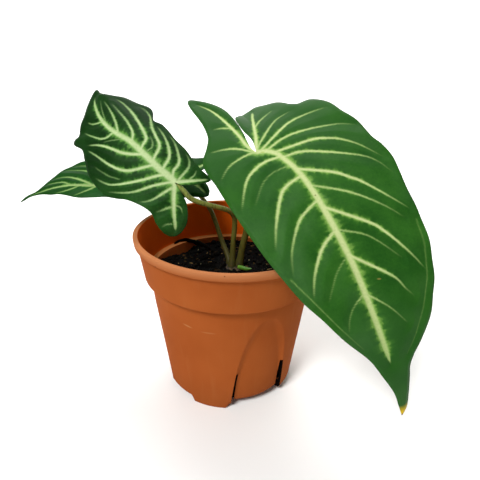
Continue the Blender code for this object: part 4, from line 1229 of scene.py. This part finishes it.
# Each leaf's green is lightest at the given share of its length, and painted shade deepens it away from
# there. The colour below serves both the under side and the painted sheen.
front_finish = leaf_finish(
    "waxy_leaf_green", best_lit_place=0.35, deep="#1D4B14", fresh="#2D5E1C", rim="#457728", bright="#80A64E",
    cream="#BBC78A", below="#4C6E45",
    tip=[(0.955, 0.985, "#C9A80E"), (0.993, 1.0, "#6A4318")],
    marks=[(FRONT_LEAF, (33.6, 12.5), (0.7, 0.7, 0.7), "#5A4A24"),
           (FRONT_LEAF, (81.2, 17.4), (1.7, 1.2, 0.6), "#A08A4A")],
)
left_finish = leaf_finish(
    "waxy_leaf_dark_green", best_lit_place=0.0, deep="#0A2B06", fresh="#224E1A", rim="#376B26", bright="#6C9C48",
    cream="#B8CC94", below="#46643E",
)
back_finish = leaf_finish(
    "waxy_leaf_shaded_green", best_lit_place=0.35, deep="#123E0C", fresh="#1E5220", rim="#3A7028",
    bright="#6C9A48", cream="#98AE70", below="#46643E",
)

# %% Make the three blades
make_blade("front_blade", FRONT_LEAF, FRONT_VEINS, 1.6, front_finish, "front_leaf_blade")
make_blade("left_blade", LEFT_LEAF, LEFT_VEINS, 1.6, left_finish, "left_leaf_blade")
make_blade("back_blade", BACK_LEAF, BACK_VEINS, 1.4, back_finish, "back_leaf_blade")

# %% [markdown]
# ## The stalks, the crown and the new leaf
#
# A stalk is round and juicy, a little thicker at its foot, where it sheathes the next one. It is
# a circle carried along a smooth path. At its end the real stalk runs on as the rib under the
# blade, so the path turns in below the midrib and thins out there.

# %% A tube along a path
STALK_AROUND = 20


def tube(path, radii, around=STALK_AROUND, flat=1.0):
    """Rings round a path: side and lift span the plane across the path's direction, and a point
    is path + radius * (cos a * side + sin a * flat * lift). End points close the tube."""
    path = np.asarray(path, float)
    ahead = np.gradient(path, axis=0)
    ahead /= np.linalg.norm(ahead, axis=1)[:, None]
    side = np.cross(ahead, np.array([0.2, -1.0, 0.1]))
    side /= np.linalg.norm(side, axis=1)[:, None]
    lift = np.cross(side, ahead)
    a = np.linspace(0, 2 * math.pi, around, endpoint=False)
    ring = np.cos(a)[None, :, None] * side[:, None] + flat * np.sin(a)[None, :, None] * lift[:, None]
    body = path[:, None] + np.asarray(radii)[:, None, None] * ring
    ends = [np.repeat(path[k][None, None], around, axis=1) for k in (0, -1)]
    return ring_mesh(np.concatenate([ends[0], body, ends[1]]))


RUN_ON = (0.0, 5.0, 10.0, 17.0)
THINNING = (1.0, 0.75, 0.5, 0.2)
BELOW_BLADE = 0.7


def stalk_path(route, leaf, seat, thin, count=120):
    """The stalk's middle line and its radius, carried on below the midrib and thinning there: each
    point lies below the blade by its thickness, 0.7 mm and the radius at that place."""
    rib = smooth_line(leaf["midrib"], 200)
    steps = [int(np.argmin(np.abs(rib[:, 0] - seat - run))) for run in RUN_ON]
    flat = [np.array([seat, 0.0]), *rib[steps[1:]]]
    radii = thin * np.array(THINNING)
    below = [leaf_place(leaf, place, -BLADE - BELOW_BLADE - radius) for place, radius in zip(flat, radii)]
    path = smooth_line([*route, *below], count)
    turn = int(np.argmin(np.linalg.norm(path - below[0], axis=1)))
    share = np.arange(count) / turn
    radius = np.interp(np.arange(count), np.linspace(turn, count - 1, len(radii)), radii)
    return path, share, radius


print("a stalk's ring has", STALK_AROUND, "points")

# %% [markdown]
# A fresh stalk has a smooth, slightly glossy skin: brown at its foot, olive higher up and green
# below the blade, with dark blotches drawn out along it. The height picks the ground colour from
# a ramp, and noise that is stretched upwards makes the blotches and the fine ridges.

# %% Finish of the stalks
stalk_finish, tree, shader, place = new_finish("mottled_leaf_stalk")
risen = add_node(tree, "Attribute", attribute_name="up")
shade = add_node(tree, "ValToRGB", {"Fac": risen.outputs["Fac"]},
                 stops=[(0.0, "#2E2C10"), (0.25, "#4D4A18"), (0.7, "#7A7E38"), (1.0, "#98AA52")])
upright = (cells(1.43), cells(1.43), cells(5.26))
drawn_out = add_node(tree, "Mapping", {"Vector": place, "Scale": upright})
blotches = add_node(tree, "TexNoise", {"Vector": drawn_out.outputs[0], "Scale": 1.0, "Detail": 3.0})
where = add_node(tree, "MapRange", {"Value": blotches.outputs["Fac"], "From Min": 0.5, "From Max": 0.66,
                                    "To Max": 0.5})
spotted = add_node(tree, "Mix", {"Factor": where.outputs[0], "A": shade.outputs["Color"],
                                 "B": linear("#2B2A12")}, data_type="RGBA")
ridges = add_node(tree, "Bump", {"Strength": 0.25, "Distance": 0.4 * MM, "Height": blotches.outputs["Fac"]})
plug(tree, shader, {"Base Color": spotted.outputs["Result"], "Roughness": 0.55, "Normal": ridges.outputs[0],
                    "Specular IOR Level": 0.2})
print("stalk finish:", len(tree.nodes), "nodes")

# %% [markdown]
# The radius falls from thick to thin as e^(-5s), with s from 0 at the foot to 1 at the blade, and
# a sheath widens the first few millimetres by one more, as e^(-(s / 0.07)^2).

# %% Make the three stalks
SHEATH, SHEATH_SHARE = 1.1, 0.07
BROWN_BELOW, GREEN_FROM = 68.0, 128.0
STALKS = {
    "front": (FRONT_LEAF, 2.0, (2.2, 1.75),
              [(4.4, 4.5, 67.5), (4.8, 4.5, 71), (5.5, 4.6, 74.8), (6.2, 4.7, 80.5), (7.4, 4.9, 86.7),
               (8.4, 4.9, 91.7), (9.6, 4.4, 103.7), (10.7, 2.4, 117), (11.4, -1, 129)]),
    "left": (LEFT_LEAF, 1.5, (1.9, 1.4),
             [(0.4, 3.4, 67.5), (0.5, 3.6, 71), (0.8, 4.7, 78.3), (1.1, 5.4, 86.2), (1.6, 5.5, 94.1),
              (1.3, 4.3, 100.3), (-0.8, 1.8, 104.4), (-4.3, -0.8, 107.1), (-13.5, -5.9, 111.2),
              (-21.6, -9, 115.2), (-25.2, -9.4, 119.2)]),
    "back": (BACK_LEAF, 1.5, (1.8, 1.3),
             [(-0.6, 7.2, 67.5), (-1, 7.7, 71), (-2.6, 9.9, 75), (-5, 12.9, 79.8), (-7.5, 15.7, 85.7),
              (-10.3, 18.7, 92.8), (-13.1, 20.4, 99), (-16.5, 21, 104), (-22, 20.9, 110.6)]),
}
for name, (leaf, seat, (thick, thin), route) in STALKS.items():
    path, share, radii = stalk_path(route, leaf, seat, thin)
    radii = radii + (thick - thin) * np.exp(-share * 5) + SHEATH * np.exp(-((share / SHEATH_SHARE) ** 2))
    points, faces = tube(path, radii)
    up = np.clip((points[:, 2] - BROWN_BELOW) / (GREEN_FROM - BROWN_BELOW), 0, 1)
    add_piece(name + "_stalk", points, faces, stalk_finish, [name + "_leaf_stalk"], {"up": up})

# %% [markdown]
# The crown is the top of the tuber, brown and fibrous, with the torn remains of old sheaths.
# Its knob is turned from a profile, and two sine waves of the angle and the height, five and
# eleven to a turn, push it out of round.

# %% Crown
CROWN_AROUND = 64
crown_profile = with_rows(
    rounded([(0, 70.6, 0), (4.6, 70.3, 1.5), (7.2, 67.8, 1.5), (7.3, 62, 2), (0, 57.8, 0)]),
    lambda radius, height: 0.6,
)
turns = np.linspace(0, 2 * math.pi, CROWN_AROUND, endpoint=False)
r, a = np.meshgrid(crown_profile[:, 0], turns, indexing="ij")
level = np.repeat(crown_profile[:, 1][:, None], CROWN_AROUND, axis=1)
r = r * (1 + 0.05 * np.sin(5 * a + level) + 0.03 * np.sin(11 * a - 2 * level))
x, y = CROWN_PLACE[0] + r * np.cos(a), CROWN_PLACE[1] + r * np.sin(a)
crown_points, crown_faces = ring_mesh(np.stack([x, y, level], axis=2))
crown_finish, tree, shader, place = new_finish("tuber_skin")
fibre = add_node(tree, "TexNoise", {"Vector": place, "Scale": cells(1.43), "Detail": 4.0})
skin = add_node(tree, "ValToRGB", {"Fac": fibre.outputs["Fac"]},
                stops=[(0.35, "#1A130A"), (0.7, "#4A3A1C")])
torn = add_node(tree, "Bump", {"Strength": 0.8, "Distance": 0.6 * MM, "Height": fibre.outputs["Fac"]})
plug(tree, shader, {"Base Color": skin.outputs["Color"], "Roughness": 0.8, "Normal": torn.outputs[0]})
add_piece("tuber_crown", crown_points, crown_faces, crown_finish, ["crown"])

# %% [markdown]
# The new leaf is still rolled into a spike and lies over the soil beside the crown. It is fresh
# green and smooth, and its radius shrinks to the tip as the square root of 1 - s^2.2, with s from
# 0 at its foot to 1. A strip of bark lies curled at the back of the soil, a tube too, with a
# radius that swings a little and closes at both ends.

# %% New leaf
SPROUT_RINGS = 30
sprout_path = smooth_line(
    [(4.2, -0.2, 71.3), (6.6, -1.8, 71.5), (9.2, -3.4, 71.7), (11.8, -4.8, 72.6)], SPROUT_RINGS
)
share = np.linspace(0, 1, SPROUT_RINGS)
sprout_radii = 1.3 * np.sqrt(np.clip(1 - share**2.2, 0.02, 1)) * (0.8 + 0.2 * np.sin(share * 3))
points, faces = tube(sprout_path, sprout_radii, 16, 0.8)
sprout_finish, tree, shader, place = new_finish("young_leaf_green")
fold = add_node(tree, "TexNoise", {"Vector": place, "Scale": cells(3.33), "Detail": 2.0})
fresh = add_node(tree, "ValToRGB", {"Fac": fold.outputs["Fac"]},
                 stops=[(0.3, "#3A6818"), (0.7, "#5F962A")])
plug(tree, shader, {"Base Color": fresh.outputs["Color"], "Roughness": 0.4})
add_piece("rolled_new_leaf", points, faces, sprout_finish, ["sprout"])

# %% Bark strip
BARK_RINGS = 40
bark_path = smooth_line([(-36.8, 29.0, 72.6), (-33.5, 33.5, 72.7), (-28.5, 35.5, 72.0), (-21.5, 35.2, 70.4),
                         (-14, 29, 69.4)], BARK_RINGS)
share = np.linspace(0, 1, BARK_RINGS)
bark_radii = (0.95 + 1.1 * share + 0.25 * np.sin(23 * share)) * np.sin(math.pi * (0.06 + 0.9 * share)) ** 0.5
points, faces = tube(bark_path, bark_radii, 12, 0.6)
add_piece("bark_strip", points, faces, bit_finish, (), {"shade": np.full(len(points), 0.05)})
